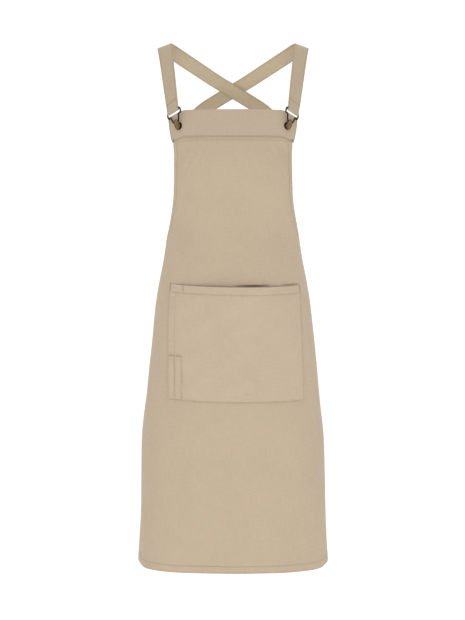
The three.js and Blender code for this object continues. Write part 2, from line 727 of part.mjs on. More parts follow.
// Its sewn end lies flat behind the turned hems, so its middle is further in than its edges by strapHollow.
const strapSeat = hemOut - clothThickness - clearance - strapHollow - strapThickness / 2;
const turnedStations = 2;
const turnedAside = 1;
const diagonal = Math.SQRT1_2;
function strapStations(side) {
  const frame = hookFrame(side);
  const layerHalf = (strapThickness + clearance) / 2;
  const round = wireRadius + clearance + strapThickness / 2;
  const atBar = (height, lift, facingUp, facingOut) => ({
    point: frame.place(0, hookHeight + height, lift),
    facing: frame.up.clone().multiplyScalar(facingUp).addScaledVector(frame.out, facingOut),
  });
  const loop = [
    atBar(0, -round, 0, -1),
    atBar(-round * diagonal, -round * diagonal, -1, -1),
    atBar(-round, 0, -1, 0),
    atBar(-round * diagonal, round * diagonal, -1, 1),
    atBar(0, round, 0, 1),
  ];

  const start = atBar(2 * round, layerHalf, 0, 1);
  const top = new THREE.Vector3(side * shoulderHalf, 0, strapThickness / 2);
  const rise = top.clone().sub(start.point);
  const bulgeWay = new THREE.Vector3(0, -rise.z, rise.y).normalize();
  const front = frontStrapRows.map((row) => ({
    point: start.point
      .clone()
      .addScaledVector(rise, row.along)
      .addScaledVector(bulgeWay, row.bulge * rise.length()),
    facing: new THREE.Vector3(side * row.outwards, -row.forwards, row.up).normalize(),
  }));

  // The turned end lies behind the strap, as far up as its seam, and drifts a little further out.
  const behind = ({ point, facing }, i) => ({
    point: point
      .clone()
      .addScaledVector(facing, -2 * layerHalf)
      .addScaledVector(frame.outer, (turnedAside * i) / turnedStations),
    facing: facing.clone().negate(),
  });
  const turnedEnd = [start, ...front.slice(0, turnedStations)].map(behind).reverse();

  const layer = (side * (strapThickness + clearance)) / 2;
  const back = backStrapRows.map((row) => {
    const facing = new THREE.Vector3(side * row.outwards, row.rear, row.up).normalize();
    return {
      point: new THREE.Vector3(
        side * row.inwards * shoulderHalf,
        row.back * crossBack,
        strapThickness / 2 - row.drop * crossDrop,
      ).addScaledVector(facing, layer * row.apart),
      facing,
    };
  });

  const across = -side * (waistHalf - cornerInset);
  const sewn = [-0.4, 0, 0.5, 1].map((share) =>
    clothPoint(across, waistDrop + share * strapSewn, strapSeat),
  );
  const blade = back[back.length - 1];
  const fall = sewn[0].point.clone().sub(blade.point);
  const lower = lowerStrapRows.map((row) => {
    const facing = blade.facing.clone().lerp(sewn[0].facing, row.along).normalize();
    const point = blade.point.clone().addScaledVector(fall, row.along);
    return { point: point.addScaledVector(facing, row.bulge * fall.length()), facing };
  });
  return [...turnedEnd, ...loop, start, ...front, ...back, ...lower, ...sewn];
}

// Materials
const canvas = new THREE.MeshStandardMaterial({ color: 0xc5b29c, roughness: 0.95, metalness: 0 });
const doubledCanvas = new THREE.MeshStandardMaterial({ color: 0xc0ad92, roughness: 0.95, metalness: 0 });
const agedBrass = new THREE.MeshStandardMaterial({ color: 0x6e5a3a, roughness: 0.4, metalness: 0.9 });
const darkWire = new THREE.MeshStandardMaterial({ color: 0x3f3524, roughness: 0.45, metalness: 0.9 });

const group = new THREE.Group();
function addPiece(name, geometry, material) {
  const mesh = new THREE.Mesh(geometry, material);
  mesh.name = name;
  group.add(mesh);
  return mesh;
}

addPiece("apron_body", apronBody, canvas);
addPiece("bib_band", bibBand, doubledCanvas);
addPiece("bottom_hem", bottomHemWall, canvas);
addPiece("pocket", pocket, canvas);
addPiece("pen_pocket", penPocket, canvas);

for (const [side, word] of [
  [-1, "left"],
  [1, "right"],
]) {
  addPiece("bib_hem_" + word, bibHem(side), canvas);
  addPiece("back_hem_" + word, backHem(side), canvas);
  addPiece("strap_" + word, ribbon(strapStations(side)), doubledCanvas);
  const { wire, cap } = hookPieces(side);
  addPiece("hook_wire_" + word, wire, darkWire);
  addPiece("hook_cap_" + word, cap, agedBrass);
  const eyelet = addPiece("eyelet_" + word, new THREE.LatheGeometry(eyeletProfile, eyeletSides), agedBrass);
  const { point, facing } = hookFrame(side);
  eyelet.geometry.rotateX(Math.PI / 2);
  turnTo(eyelet, facing);
  eyelet.position.copy(point);
}

export default group;
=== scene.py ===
import math

import bpy
import numpy as np
from mathutils import Matrix, Vector


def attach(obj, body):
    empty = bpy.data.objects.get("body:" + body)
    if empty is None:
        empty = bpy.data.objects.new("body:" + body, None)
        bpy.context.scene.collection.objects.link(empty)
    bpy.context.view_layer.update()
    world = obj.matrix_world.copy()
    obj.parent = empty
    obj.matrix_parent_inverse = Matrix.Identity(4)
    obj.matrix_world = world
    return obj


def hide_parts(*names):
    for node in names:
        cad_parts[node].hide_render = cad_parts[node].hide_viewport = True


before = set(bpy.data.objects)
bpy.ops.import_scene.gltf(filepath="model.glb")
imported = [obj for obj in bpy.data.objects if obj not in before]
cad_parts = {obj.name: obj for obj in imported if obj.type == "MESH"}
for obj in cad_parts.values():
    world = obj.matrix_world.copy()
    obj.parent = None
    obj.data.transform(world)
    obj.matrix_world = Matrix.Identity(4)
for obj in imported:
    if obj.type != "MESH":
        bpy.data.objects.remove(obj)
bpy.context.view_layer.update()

# The stage: a seamless pale sweep below and behind the apron, which hangs from its shoulder mount, and soft
# light from the front, both sides, above and low in front. The camera stands in front, a little above the
# waist.
camera_distance = 2.615
camera_rise = math.radians(3.5)
camera_aim = Vector((-0.001, 0.0, -0.5045))
camera_lens = 78.5
sensor_size = 36.0
floor_level = -1.30
sweep_depth = 3.6
sweep_half = 4.5
sweep_front = -4.6
sweep_height = 3.6
sweep_radius = 0.8
sweep_columns = 2
sweep_rows = 48
sweep_grey = (0.97, 0.97, 0.97, 1.0)
sweep_roughness = 0.9
sweep_glow = 0.16
studio_white = (1.0, 1.0, 1.0, 1.0)
world_strength = 0.79

camera_data = bpy.data.cameras.new("front_camera")
camera_data.lens = camera_lens
camera_data.sensor_fit = "VERTICAL"
camera_data.sensor_height = sensor_size
camera = bpy.data.objects.new("front_camera", camera_data)
camera_back = Vector((0.0, -math.cos(camera_rise), math.sin(camera_rise)))
camera.location = camera_aim + camera_back * camera_distance
camera.rotation_euler = (math.pi / 2 - camera_rise, 0.0, 0.0)
bpy.context.collection.objects.link(camera)
bpy.context.scene.camera = camera

bpy.ops.object.select_all(action="DESELECT")
bpy.ops.mesh.primitive_grid_add(x_subdivisions=sweep_columns, y_subdivisions=sweep_rows, size=1)
studio_sweep = bpy.context.object
studio_sweep.name = "studio_sweep"
flat_run = sweep_depth - sweep_front - sweep_radius
bend_run = sweep_radius * math.pi / 2
rise_run = sweep_height
for vertex in studio_sweep.data.vertices:
    run = (vertex.co.y + 0.5) * (flat_run + bend_run + rise_run)
    turn = min(max((run - flat_run) / sweep_radius, 0.0), math.pi / 2)
    over = max(run - flat_run - bend_run, 0.0)
    vertex.co = (
        vertex.co.x * 2 * sweep_half,
        sweep_front + min(run, flat_run) + sweep_radius * math.sin(turn),
        floor_level + sweep_radius * (1 - math.cos(turn)) + over,
    )
bpy.ops.object.shade_smooth()
sweep_paint = bpy.data.materials.new("sweep_paint")
sweep_paint.use_nodes = True
sweep_look = sweep_paint.node_tree.nodes["Principled BSDF"].inputs
sweep_look["Base Color"].default_value = sweep_grey
sweep_look["Roughness"].default_value = sweep_roughness
sweep_look["Emission Color"].default_value = studio_white
sweep_look["Emission Strength"].default_value = sweep_glow
studio_sweep.data.materials.append(sweep_paint)

studio_world = bpy.data.worlds.new("studio_world")
studio_world.use_nodes = True
studio_world.node_tree.nodes["Background"].inputs["Color"].default_value = studio_white
studio_world.node_tree.nodes["Background"].inputs["Strength"].default_value = world_strength
bpy.context.scene.world = studio_world
bpy.context.scene.view_settings.view_transform = "Standard"

# Where each soft light hangs, the level on the midline that it aims at, its width and height, and its power.
light_rows = [
    {"name": "front_light", "place": (0.15, -3.2, 0.9), "aim_level": -0.45, "size": (2.2, 1.8), "power": 3.5},
    {"name": "left_light", "place": (-2.6, -1.6, 0.4), "aim_level": -0.5, "size": (1.2, 1.8), "power": 1.5},
    {"name": "right_light", "place": (2.6, -1.6, 0.4), "aim_level": -0.5, "size": (1.2, 1.8), "power": 1},
    {"name": "top_light", "place": (0.0, 0.5, 1.9), "aim_level": -0.5, "size": (2.4, 1.6), "power": 12},
    {"name": "low_light", "place": (0.1, -2.4, -0.95), "aim_level": -0.15, "size": (2.0, 0.5), "power": 8},
]
for row in light_rows:
    panel = bpy.data.lights.new(row["name"], "AREA")
    panel.shape = "RECTANGLE"
    panel.size, panel.size_y = row["size"]
    panel.energy = row["power"]
    lamp = bpy.data.objects.new(row["name"], panel)
    lamp.location = row["place"]
    aim = Vector((0.0, 0.0, row["aim_level"])) - Vector(row["place"])
    lamp.rotation_euler = aim.to_track_quat("-Z", "Y").to_euler()
    bpy.context.collection.objects.link(lamp)

# Main panel: one piece of plain-woven cotton canvas, cut with curved armholes, that wraps from the front to
# behind the hips. It keeps the form that a wearer gives it, with soft folds low on the skirt and a crease
# that runs from the band down to each side of the bib. Its edges are turned in and sewn.
cloth_thickness = 0.0010
cloth_gap = 0.0003
bib_below_shoulder = 0.127
apron_length = 0.860
band_depth = 0.051
band_tuck = 0.013
armhole_start = 0.145
waist_drop = 0.273
pocket_top = 0.323
pocket_height = 0.2155
band_half = 0.129
bib_half = 0.118
armhole_half = 0.1215
waist_half = 0.300
hem_half = 0.360
body_half_width = 0.184
body_front = 0.135
body_back = 0.130
corner_droop = 0.013
side_hem = 0.010
bottom_hem = 0.015
fold_depth = 0.006
turn_depth = 2 * cloth_thickness + cloth_gap
turn_radius = turn_depth / 2

# Place down the front as a share of apron_length, half width and depths as shares of the body's, and the
# power of the rounded outline there.
form_rows = [
    {"down": 0.000, "side": 0.800, "front": 0.705, "back": 0.770, "power": 2.15},
    {"down": 0.085, "side": 0.815, "front": 0.820, "back": 0.790, "power": 2.15},
    {"down": 0.130, "side": 0.795, "front": 0.830, "back": 0.770, "power": 2.20},
    {"down": 0.190, "side": 0.740, "front": 0.795, "back": 0.690, "power": 2.25},
    {"down": 0.254, "side": 0.688, "front": 0.758, "back": 0.630, "power": 2.30},
    {"down": 0.317, "side": 0.722, "front": 0.785, "back": 0.665, "power": 2.35},
    {"down": 0.371, "side": 0.770, "front": 0.815, "back": 0.720, "power": 2.40},
    {"down": 0.438, "side": 0.820, "front": 0.850, "back": 0.800, "power": 2.50},
    {"down": 0.529, "side": 0.862, "front": 0.885, "back": 0.860, "power": 2.65},
    {"down": 0.643, "side": 0.915, "front": 0.920, "back": 0.900, "power": 2.80},
    {"down": 0.734, "side": 0.955, "front": 0.945, "back": 0.930, "power": 2.95},
    {"down": 0.864, "side": 0.967, "front": 0.975, "back": 0.965, "power": 3.10},
    {"down": 0.945, "side": 0.984, "front": 0.990, "back": 0.985, "power": 3.15},
    {"down": 1.000, "side": 1.000, "front": 1.000, "back": 1.000, "power": 3.20},
]
fold_rows = [
    {"across": 0.57, "width": 0.07, "depth": -0.55},
    {"across": 0.72, "width": 0.07, "depth": 0.10},
    {"across": 0.86, "width": 0.06, "depth": -1.00},
]
# Slow waves of the whole cloth: lengths across and down, the turn of the wave at the midline, and its height.
wave_rows = [
    {"across": 0.170, "down": 0.410, "start": 0.6, "height": 0.0009},
    {"across": -0.240, "down": 0.290, "start": 2.1, "height": 0.0008},
    {"across": 0.095, "down": -0.350, "start": 4.4, "height": 0.0005},
    {"across": -0.070, "down": 0.160, "start": 1.3, "height": 0.0003},
]
crease_from = Vector((0.064, 0.056))
crease_to = Vector((0.109, 0.142))
crease_depth = 0.0028
crease_reach = 0.026
crease_line = 0.0009
crease_width = 0.0045
crease_starts = (-0.012, 0.020)
crease_ends = (-0.010, 0.045)
crease_below_band = (0.002, 0.026)
crease_side = -0.004
calm_levels = (0.10, 0.50)
calm_share = 0.35
droop_starts = 0.7
droop_ends = 1.04


def read_row(rows, place, column):
    """Smooth value of one column, between the rows of a table of the form."""
    i = 0
    while i < len(rows) - 2 and place > rows[i + 1]["down"]:
        i += 1
    a, b = rows[i], rows[i + 1]
    span = b["down"] - a["down"]

    def slope(p, q):
        return (q[column] - p[column]) / (q["down"] - p["down"])

    slope_a = slope(rows[i - 1], b) if i > 0 else slope(a, b)
    slope_b = slope(a, rows[i + 2]) if i < len(rows) - 2 else slope(a, b)
    u = min(max((place - a["down"]) / span, 0.0), 1.0)
    return (
        (2 * u**3 - 3 * u**2 + 1) * a[column]
        + (u**3 - 2 * u**2 + u) * span * slope_a
        + (3 * u**2 - 2 * u**3) * b[column]
        + (u**3 - u**2) * span * slope_b
    )


def smoothstep(value, low, high):
    """A smooth rise from 0 to 1 between two values."""
    u = np.clip((value - low) / (high - low), 0.0, 1.0)
    return u * u * (3 - 2 * u)


# The form on a fine grid of levels and of distances from the front midline, as place and facing seen from
# above. It reaches a little past the cloth on every side.
level_step = 0.002
line_step = 0.0015
form_above = 0.008
form_below = 0.010
form_aside = 0.012
form_levels = np.arange(-form_above, apron_length + form_below, level_step)
form_lines = np.arange(0.0, hem_half + form_aside, line_step)
form_turns = np.linspace(0.0, math.pi, 361)
form_x, form_y, facing_x, facing_y = (np.empty((len(form_levels), len(form_lines))) for _ in range(4))
for level, level_down in enumerate(form_levels):
    share_down = min(max(level_down / apron_length, 0.0), 1.0)
    side = read_row(form_rows, share_down, "side") * body_half_width
    front = read_row(form_rows, share_down, "front") * body_front
    back = read_row(form_rows, share_down, "back") * body_back
    power = read_row(form_rows, share_down, "power")
    turn_depths = np.where(form_turns < math.pi / 2, front, back)
    reach = (np.sin(form_turns) / side) ** power + np.abs(np.cos(form_turns) / turn_depths) ** power
    ring_x = reach ** (-1 / power) * np.sin(form_turns)
    ring_y = -(reach ** (-1 / power)) * np.cos(form_turns)
    ring_along = np.concatenate([[0.0], np.cumsum(np.hypot(np.diff(ring_x), np.diff(ring_y)))])
    form_x[level] = np.interp(form_lines, ring_along, ring_x)
    form_y[level] = np.interp(form_lines, ring_along, ring_y)
    line_depths = np.where(form_y[level] < 0, front, back)
    look_x = np.abs(form_x[level] / side) ** (power - 1) / side
    look_y = np.sign(form_y[level]) * np.abs(form_y[level] / line_depths) ** (power - 1) / line_depths
    look = np.hypot(look_x, look_y)
    facing_x[level], facing_y[level] = look_x / look, look_y / look


def crease_at(across, down):
    """How far the cloth outside the bib's slanting crease is set back."""
    run = (crease_to - crease_from).normalized()
    from_start = np.stack([np.abs(across) - crease_from.x, down - crease_from.y])
    along = from_start[0] * run.x + from_start[1] * run.y
    outside = from_start[0] * run.y - from_start[1] * run.x
    length = (crease_to - crease_from).length
    ended = smoothstep(along, length + crease_ends[0], length + crease_ends[1])
    below_band = smoothstep(down, band_depth + crease_below_band[0], band_depth + crease_below_band[1])
    present = smoothstep(along, *crease_starts) * (1 - ended) * below_band
    back = crease_depth * smoothstep(outside, crease_side, crease_reach)
    return -present * (back + crease_line * np.exp(-((outside / crease_width) ** 2)))


def fold_at(across, down):
    """How far folds, crease and waves push the cloth out."""
    grown = smoothstep(down, waist_drop + pocket_height / 2, apron_length)
    out = np.zeros_like(across)
    for fold in fold_rows:
        away = (np.abs(across) / hem_half - fold["across"]) / fold["width"]
        out += fold["depth"] * fold_depth * np.exp(-(away**2)) * grown
    calm = calm_share + (1 - calm_share) * smoothstep(down, *calm_levels)
    for wave in wave_rows:
        turn = across / wave["across"] + down / wave["down"]
        out += wave["height"] * calm * np.sin(2 * math.pi * turn + wave["start"])
    return out + crease_at(across, down)


def on_cloth(across, down, out):
    """Places in the frame of points on the cloth: across from the front midline, down from the top, out."""
    across, down, out = (np.asarray(value, float) for value in np.broadcast_arrays(across, down, out))
    line = np.clip(np.abs(across) / line_step, 0, len(form_lines) - 1.001)
    level = np.clip((down - form_levels[0]) / level_step, 0, len(form_levels) - 1.001)
    i, j = level.astype(int), line.astype(int)
    u, v = level - i, line - j

    def read(table):
        upper = table[i, j] * (1 - v) + table[i, j + 1] * v
        lower = table[i + 1, j] * (1 - v) + table[i + 1, j + 1] * v
        return upper * (1 - u) + lower * u

    pushed = out + fold_at(across, down)
    look_x, look_y = read(facing_x), read(facing_y)
    outwards = smoothstep(np.abs(across), band_half * droop_starts, band_half * droop_ends)
    fading = 1 - smoothstep(down, band_depth, armhole_start)
    x = np.where(across < 0, -1.0, 1.0) * (read(form_x) + look_x * pushed)
    y = read(form_y) + look_y * pushed
    z = -bib_below_shoulder - down - corner_droop * outwards * fading
    return np.stack([x, y, z], axis=-1)


def cloth_facing(across, down, out):
    """The directions square to the cloth there, outwards."""
    step = 0.0015
    right = on_cloth(across + step, down, out) - on_cloth(across - step, down, out)
    up = on_cloth(across, down - step, out) - on_cloth(across, down + step, out)
    square = np.cross(right, up)
    return square / np.linalg.norm(square, axis=-1, keepdims=True)


armhole_turns = np.linspace(0.0, math.pi / 2, 49)[1:]
armhole_across = armhole_half + (waist_half - armhole_half) * (1 - np.cos(armhole_turns))
armhole_down = armhole_start + (waist_drop - armhole_start) * np.sin(armhole_turns)
band_taper = 1.6


def half_width(down):
    """Half width of the cloth along one level: band, bib, armhole, skirt."""
    band = band_half + (bib_half - band_half) * np.clip(down / band_depth, 0.0, 1.0) ** band_taper
    bib_share = np.clip((down - band_depth) / (armhole_start - band_depth), 0.0, 1.0)
    fallen = np.clip((down - armhole_start) / (waist_drop - armhole_start), 0.0, 1.0)
    bib = bib_half + (armhole_half - bib_half) * bib_share
    armhole = (waist_half - armhole_half) * (1 - np.sqrt(1 - fallen**2))
    skirt_share = np.clip((down - waist_drop) / (apron_length - waist_drop), 0.0, 1.0)
    skirt = waist_half + (hem_half - waist_half) * skirt_share
    return np.where(down < band_depth, band, np.where(down < waist_drop, bib + armhole, skirt))


edge_rounding = 0.3
sharp_edge = math.radians(50)
smooth_edge = math.radians(42)
# The most painted shade that any place of the cloth can take.
darkest_seam_shade = 1.5


def lay_cloth(name, columns, rows, place, thickness, flip=False):
    """A fine grid laid on the form, given its thickness inwards. Its flat places are its UV map, and its
    attribute seam holds painted shade: how much darker the cloth is painted at stitched lines, folded rims
    and other shaded places."""
    bpy.ops.object.select_all(action="DESELECT")
    bpy.ops.mesh.primitive_grid_add(x_subdivisions=columns, y_subdivisions=rows, size=1)
    piece = bpy.context.object
    piece.name = piece.data.name = name
    mesh = piece.data
    flat = np.empty(len(mesh.vertices) * 3)
    mesh.vertices.foreach_get("co", flat)
    flat = flat.reshape(-1, 3)
    column = np.rint((flat[:, 0] + 0.5) * columns).astype(int)
    row = np.rint((0.5 - flat[:, 1]) * rows).astype(int)
    points, flat_places, seam = place(column, row)
    mesh.vertices.foreach_set("co", points.ravel())
    mesh.attributes.new("seam", "FLOAT", "POINT").data.foreach_set("value", np.clip(seam, 0.0, darkest_seam_shade))
    corners = np.empty(len(mesh.loops), dtype=np.int32)
    mesh.loops.foreach_get("vertex_index", corners)
    mesh.uv_layers[0].name = "cloth"
    mesh.uv_layers[0].data.foreach_set("uv", flat_places[corners].ravel())
    if flip:
        mesh.flip_normals()
    mesh.update()
    body = piece.modifiers.new("thickness", "SOLIDIFY")
    body.thickness = thickness
    body.offset = -1.0
    body.use_even_offset = False
    bpy.ops.object.modifier_apply(modifier=body.name)
    rounding = piece.modifiers.new("rounding", "BEVEL")
    rounding.width = thickness * edge_rounding
    rounding.segments = 2
    rounding.limit_method = "ANGLE"
    rounding.angle_limit = sharp_edge
    bpy.ops.object.modifier_apply(modifier=rounding.name)
    bpy.ops.object.shade_smooth_by_angle(angle=smooth_edge)
    return piece


# Levels of the panel's grid: they lie closer at the pocket's mouth and at the foot, where the cloth turns.
panel_top = band_depth - band_tuck
mouth_above = 0.006
mouth_below = 0.010
foot_zone = 0.018
panel_downs = np.concatenate([
    np.linspace(panel_top, armhole_start, 34),
    armhole_down,
    np.linspace(waist_drop, pocket_top - mouth_above, 14)[1:-1],
    np.linspace(pocket_top - mouth_above, pocket_top + mouth_below, 22),
    np.linspace(pocket_top + mouth_below, apron_length - foot_zone, 100)[1:],
    np.linspace(apron_length - foot_zone, apron_length - turn_radius, 12)[1:],
])
panel_inner_columns = 66
panel_edge_columns = 9
panel_edge_zone = 0.013
panel_columns = 2 * (panel_inner_columns + panel_edge_columns)

edge_downs = np.concatenate([np.linspace(panel_top, armhole_start, 60)[:-1], [armhole_start]])
skirt_downs = np.linspace(waist_drop, apron_length, 260)
edge_line = np.concatenate([
    np.stack([half_width(np.maximum(edge_downs, band_depth)), edge_downs], axis=1),
    np.stack([armhole_across, armhole_down], axis=1),
    np.stack([half_width(skirt_downs), skirt_downs], axis=1)[1:],
])
edge_part = 40


def from_edge(across, down):
    """Distance along the cloth from its turned side edge, armhole included."""
    places = np.stack([np.abs(across), down], axis=1)
    nearest = np.full(len(places), 1.0)
    for start in range(0, len(edge_line), edge_part):
        part = edge_line[start:start + edge_part]
        gaps = np.linalg.norm(places[:, None, :] - part[None, :, :], axis=2)
        nearest = np.minimum(nearest, gaps.min(axis=1))
    return nearest


# Width of the painted shade along a row of stitches; depth and width of the groove that the row presses in.
seam_shade_reach = 0.0011
stitch_press = 0.00028
stitch_groove = 0.0009


def near(distance, line, width=seam_shade_reach):
    """How near places are to a line, from 0 to 1."""
    return np.exp(-(((distance - line) / width) ** 2))


def pressed(distance, line, depth=stitch_press, width=stitch_groove):
    """The groove that a row of stitches presses into the cloth."""
    return -depth * near(distance, line, width)


lower_row_drop = 0.0056
hem_margin = 0.0015
lower_row = band_depth + lower_row_drop
side_seam = side_hem - hem_margin
bottom_seam = bottom_hem - hem_margin
pucker_length = 0.011
pucker_height = 0.00022
pucker_slant = 1.3


def puckered(run, turn):
    """The small puckers that a row of stitches draws up along a hem."""
    return pucker_height * np.sin(2 * math.pi * run / pucker_length + turn)


def turning(run):
    """How unevenly the puckers follow each other along the panel's hems."""
    return 3 * np.sin(run * 41)


# The panel falls back behind the pocket's mouth in two places, where the mouth hangs open: the middle and
# half width of each hollow along the cloth, and how deep it is. It sets in just above the mouth.
hollow_rises = (-0.0048, -0.0012)
hollow_fades = (0.012, 0.060)
hollow_rows = [
    {"across": 0.037, "half": 0.036, "depth": 0.0062},
    {"across": 0.117, "half": 0.026, "depth": 0.0030},
]
pocket_half = 0.133
pocket_shift = 0.0055
pocket_sag = 0.004
pocket_lean = 0.0028


def mouth_line(across):
    """The level of the pocket's top edge: it sags towards the middle and leans down to the right."""
    share = np.clip((across - pocket_shift) / pocket_half, -1, 1)
    return pocket_top + pocket_sag * (1 - share**2) + pocket_lean * (1 + share) / 2


def mouth_hollow(across, down):
    """How far the panel falls back at the pocket's mouth."""
    below = down - mouth_line(across)
    profile = smoothstep(below, *hollow_rises) * (1 - smoothstep(below, *hollow_fades))
    out = np.zeros_like(across)
    for hollow in hollow_rows:
        share = np.clip(np.abs(across - hollow["across"]) / hollow["half"], 0, 1)
        out -= hollow["depth"] * (1 - share**2) ** 1.5 * profile
    return out


# Painted shade on the panel: how dark its folded rims, the band's foot, the row under the band and the
# pocket's mouth are painted, and how far each reaches.
edge_shade = 1.4
edge_shade_reach = 0.0016
foot_shade_reach = 0.0014
lower_row_shade = 0.8
band_shade = 1.2
rim_reach = 0.0012
mouth_shade = 1.5
mouth_shade_drop = 0.0004


def place_panel(column, row):
    """Places of the main panel, with its puckered edges, pressed seams and the hollows behind the pocket."""
    down = panel_downs[row]
    edge = half_width(np.maximum(down, band_depth)) - turn_radius
    step = column - panel_columns // 2
    inner = np.minimum(np.abs(step), panel_inner_columns) / panel_inner_columns * (edge - panel_edge_zone)
    outer = np.maximum(np.abs(step) - panel_inner_columns, 0) / panel_edge_columns * panel_edge_zone
    across = np.sign(step) * (inner + outer)
    distance = from_edge(across, down)
    run = across + down * pucker_slant
    pucker = puckered(run, turning(run))
    near_side = np.exp(-((distance / side_hem) ** 2)) * (down > band_depth)
    near_foot = np.exp(-(((apron_length - down) / bottom_hem) ** 2))
    out = pressed(distance, side_seam) * (down > band_depth) + pressed(apron_length - down, bottom_seam)
    out += pucker * np.maximum(near_side, near_foot) + mouth_hollow(across, down)
    out += pressed(down, lower_row) * (np.abs(across) < bib_half - side_hem)
    # Painted shade in the seam attribute: along the folded rim, the seam rows, under the band and at the
    # pocket's mouth.
    painted_fold_shade = edge_shade * near(distance, turn_radius, edge_shade_reach)
    seam = np.maximum(near(distance, side_seam), painted_fold_shade) * (down > band_depth)
    seam = np.maximum(seam, near(apron_length - down, bottom_seam))
    seam = np.maximum(seam, edge_shade * near(apron_length - down, turn_radius, foot_shade_reach))
    painted_shade_under_band = lower_row_shade * near(down, lower_row) + band_shade * near(down, band_depth, rim_reach)
    seam = np.maximum(seam, painted_shade_under_band)
    below = down - mouth_line(across)
    at_pocket = np.abs(across - pocket_shift) < pocket_half
    seam = np.maximum(seam, mouth_shade * near(below, mouth_shade_drop, edge_shade_reach) * at_pocket)
    return on_cloth(across, down, out), np.stack([across, -down], axis=1), seam


apron_panel = lay_cloth("apron_panel", panel_columns, len(panel_downs) - 1, place_panel, cloth_thickness)


def nodes_of(material):
    """The material's node tree with its shader, and a short way to add and join nodes."""
    material.use_nodes = True
    tree = material.node_tree
    shader = tree.nodes["Principled BSDF"]

    def add(kind, settings=None, **inputs):
        node = tree.nodes.new(kind)
        for key, value in (settings or {}).items():
            setattr(node, key, value)
        for key, value in inputs.items():
            socket = node.inputs[int(key[1:])] if key[0] == "i" and key[1:].isdigit() else node.inputs[key]
            if hasattr(value, "is_output"):
                tree.links.new(value, socket)
            else:
                socket.default_value = value
        return node

    return tree, shader, add


def linear(red, green, blue):
    """A colour as the eye reads it on screen, from 0 to 255, as the shader wants it."""
    def open_up(value):
        value = value / 255
        return value / 12.92 if value <= 0.04045 else ((value + 0.055) / 1.055) ** 2.4

    return (open_up(red), open_up(green), open_up(blue), 1.0)


def scaled(add, value, by, plus):
    """One value times another, plus a third."""
    return add("ShaderNodeMath", {"operation": "MULTIPLY_ADD"}, i0=value, i1=by, i2=plus).outputs[0]


yarn_pitch = 0.00085
yarn_wander = 2.4
yarn_contrast = 0.030
slub_contrast = 0.16
dye_contrast = 0.07
# How much darker the canvas is painted where the seam attribute, its painted shade, is full.
seam_shade_darkening = 0.095
tone_level = 0.965
weave_relief = 0.00018
rear_starts = 0.0
rear_ends = 0.035


def canvas_finish(name, tone, rear_painted_light_tone=None):
    """Plain-woven cotton canvas, seen along its own threads: crossing yarns, slubs, slow unevenness of dye.
    A rear tone, where there is one, takes over behind the shoulders: painted light, lighter and yellower
    where the straps face away from the lamps."""
    material = bpy.data.materials.new(name)
    tree, shader, add = nodes_of(material)
    flat = add("ShaderNodeUVMap", {"uv_map": "cloth"}).outputs["UV"]
    apart = add("ShaderNodeSeparateXYZ", Vector=flat)

    def noise(vector, scale, detail):
        settings = {"noise_dimensions": "2D"}
        return add("ShaderNodeTexNoise", settings, Vector=vector, Scale=scale, Detail=detail).outputs[0]

    wander = add("ShaderNodeMath", {"operation": "MULTIPLY"}, i0=noise(flat, 260.0, 1.0), i1=yarn_wander)

    def yarns(position):
        turns = scaled(add, position, 2 * math.pi / yarn_pitch, wander.outputs[0])
        return add("ShaderNodeMath", {"operation": "SINE"}, i0=turns).outputs[0]

    def slubs(scale_x, scale_y):
        stretch = add("ShaderNodeMapping", Vector=flat, Scale=(scale_x, scale_y, 1.0))
        return noise(stretch.outputs[0], 1.0, 2.0)

    across_yarns, along_yarns = yarns(apart.outputs["X"]), yarns(apart.outputs["Y"])
    crossing = add("ShaderNodeMath", {"operation": "MULTIPLY"}, i0=across_yarns, i1=along_yarns).outputs[0]
    warp, weft = slubs(900.0, 45.0), slubs(55.0, 900.0)
    yarn_tone = add("ShaderNodeMath", {"operation": "ADD"}, i0=warp, i1=weft).outputs[0]
    slubbed = scaled(add, yarn_tone, slub_contrast, -slub_contrast)
    dyed = scaled(add, noise(flat, 14.0, 3.0), dye_contrast, slubbed)
    woven = scaled(add, crossing, yarn_contrast, dyed)
    # Painted shade: the seam attribute darkens the canvas at seams, folded rims, the band's foot and the
    # pocket's mouth.
    seam = add("ShaderNodeAttribute", {"attribute_name": "seam"}).outputs["Fac"]
    shade = scaled(add, seam, -seam_shade_darkening, tone_level)
    bright = add("ShaderNodeMath", {"operation": "ADD"}, i0=woven, i1=shade)
    tint = add("ShaderNodeVectorMath", {"operation": "SCALE"}, i0=linear(*tone)[:3], Scale=bright.outputs[0])
    # Painted light: behind the shoulders the tone turns lighter and yellower, where the cloth faces away from
    # the lamps.
    if rear_painted_light_tone:
        place = add("ShaderNodeSeparateXYZ", Vector=add("ShaderNodeTexCoord").outputs["Object"])
        behind = add("ShaderNodeMapRange", i0=place.outputs["Y"], i1=rear_starts, i2=rear_ends)
        tones = add("ShaderNodeValToRGB", i0=behind.outputs[0])
        tones.color_ramp.elements[0].color = linear(*tone)
        tones.color_ramp.elements[1].color = linear(*rear_painted_light_tone)
        tree.links.new(tones.outputs[0], tint.inputs[0])
    tree.links.new(tint.outputs[0], shader.inputs["Base Color"])
    tree.links.new(scaled(add, yarn_tone, 0.10, 0.80), shader.inputs["Roughness"])
    shader.inputs["Specular IOR Level"].default_value = 0.25
    shader.inputs["Sheen Weight"].default_value = 0.12
    shader.inputs["Sheen Roughness"].default_value = 0.5
    relief = scaled(add, yarn_tone, 1.1, crossing)
    bump = add("ShaderNodeBump", Strength=0.55, Distance=weave_relief, Height=relief)
    tree.links.new(bump.outputs[0], shader.inputs["Normal"])
    return material


canvas_tone = (197, 178, 153)
canvas = canvas_finish("canvas", canvas_tone)


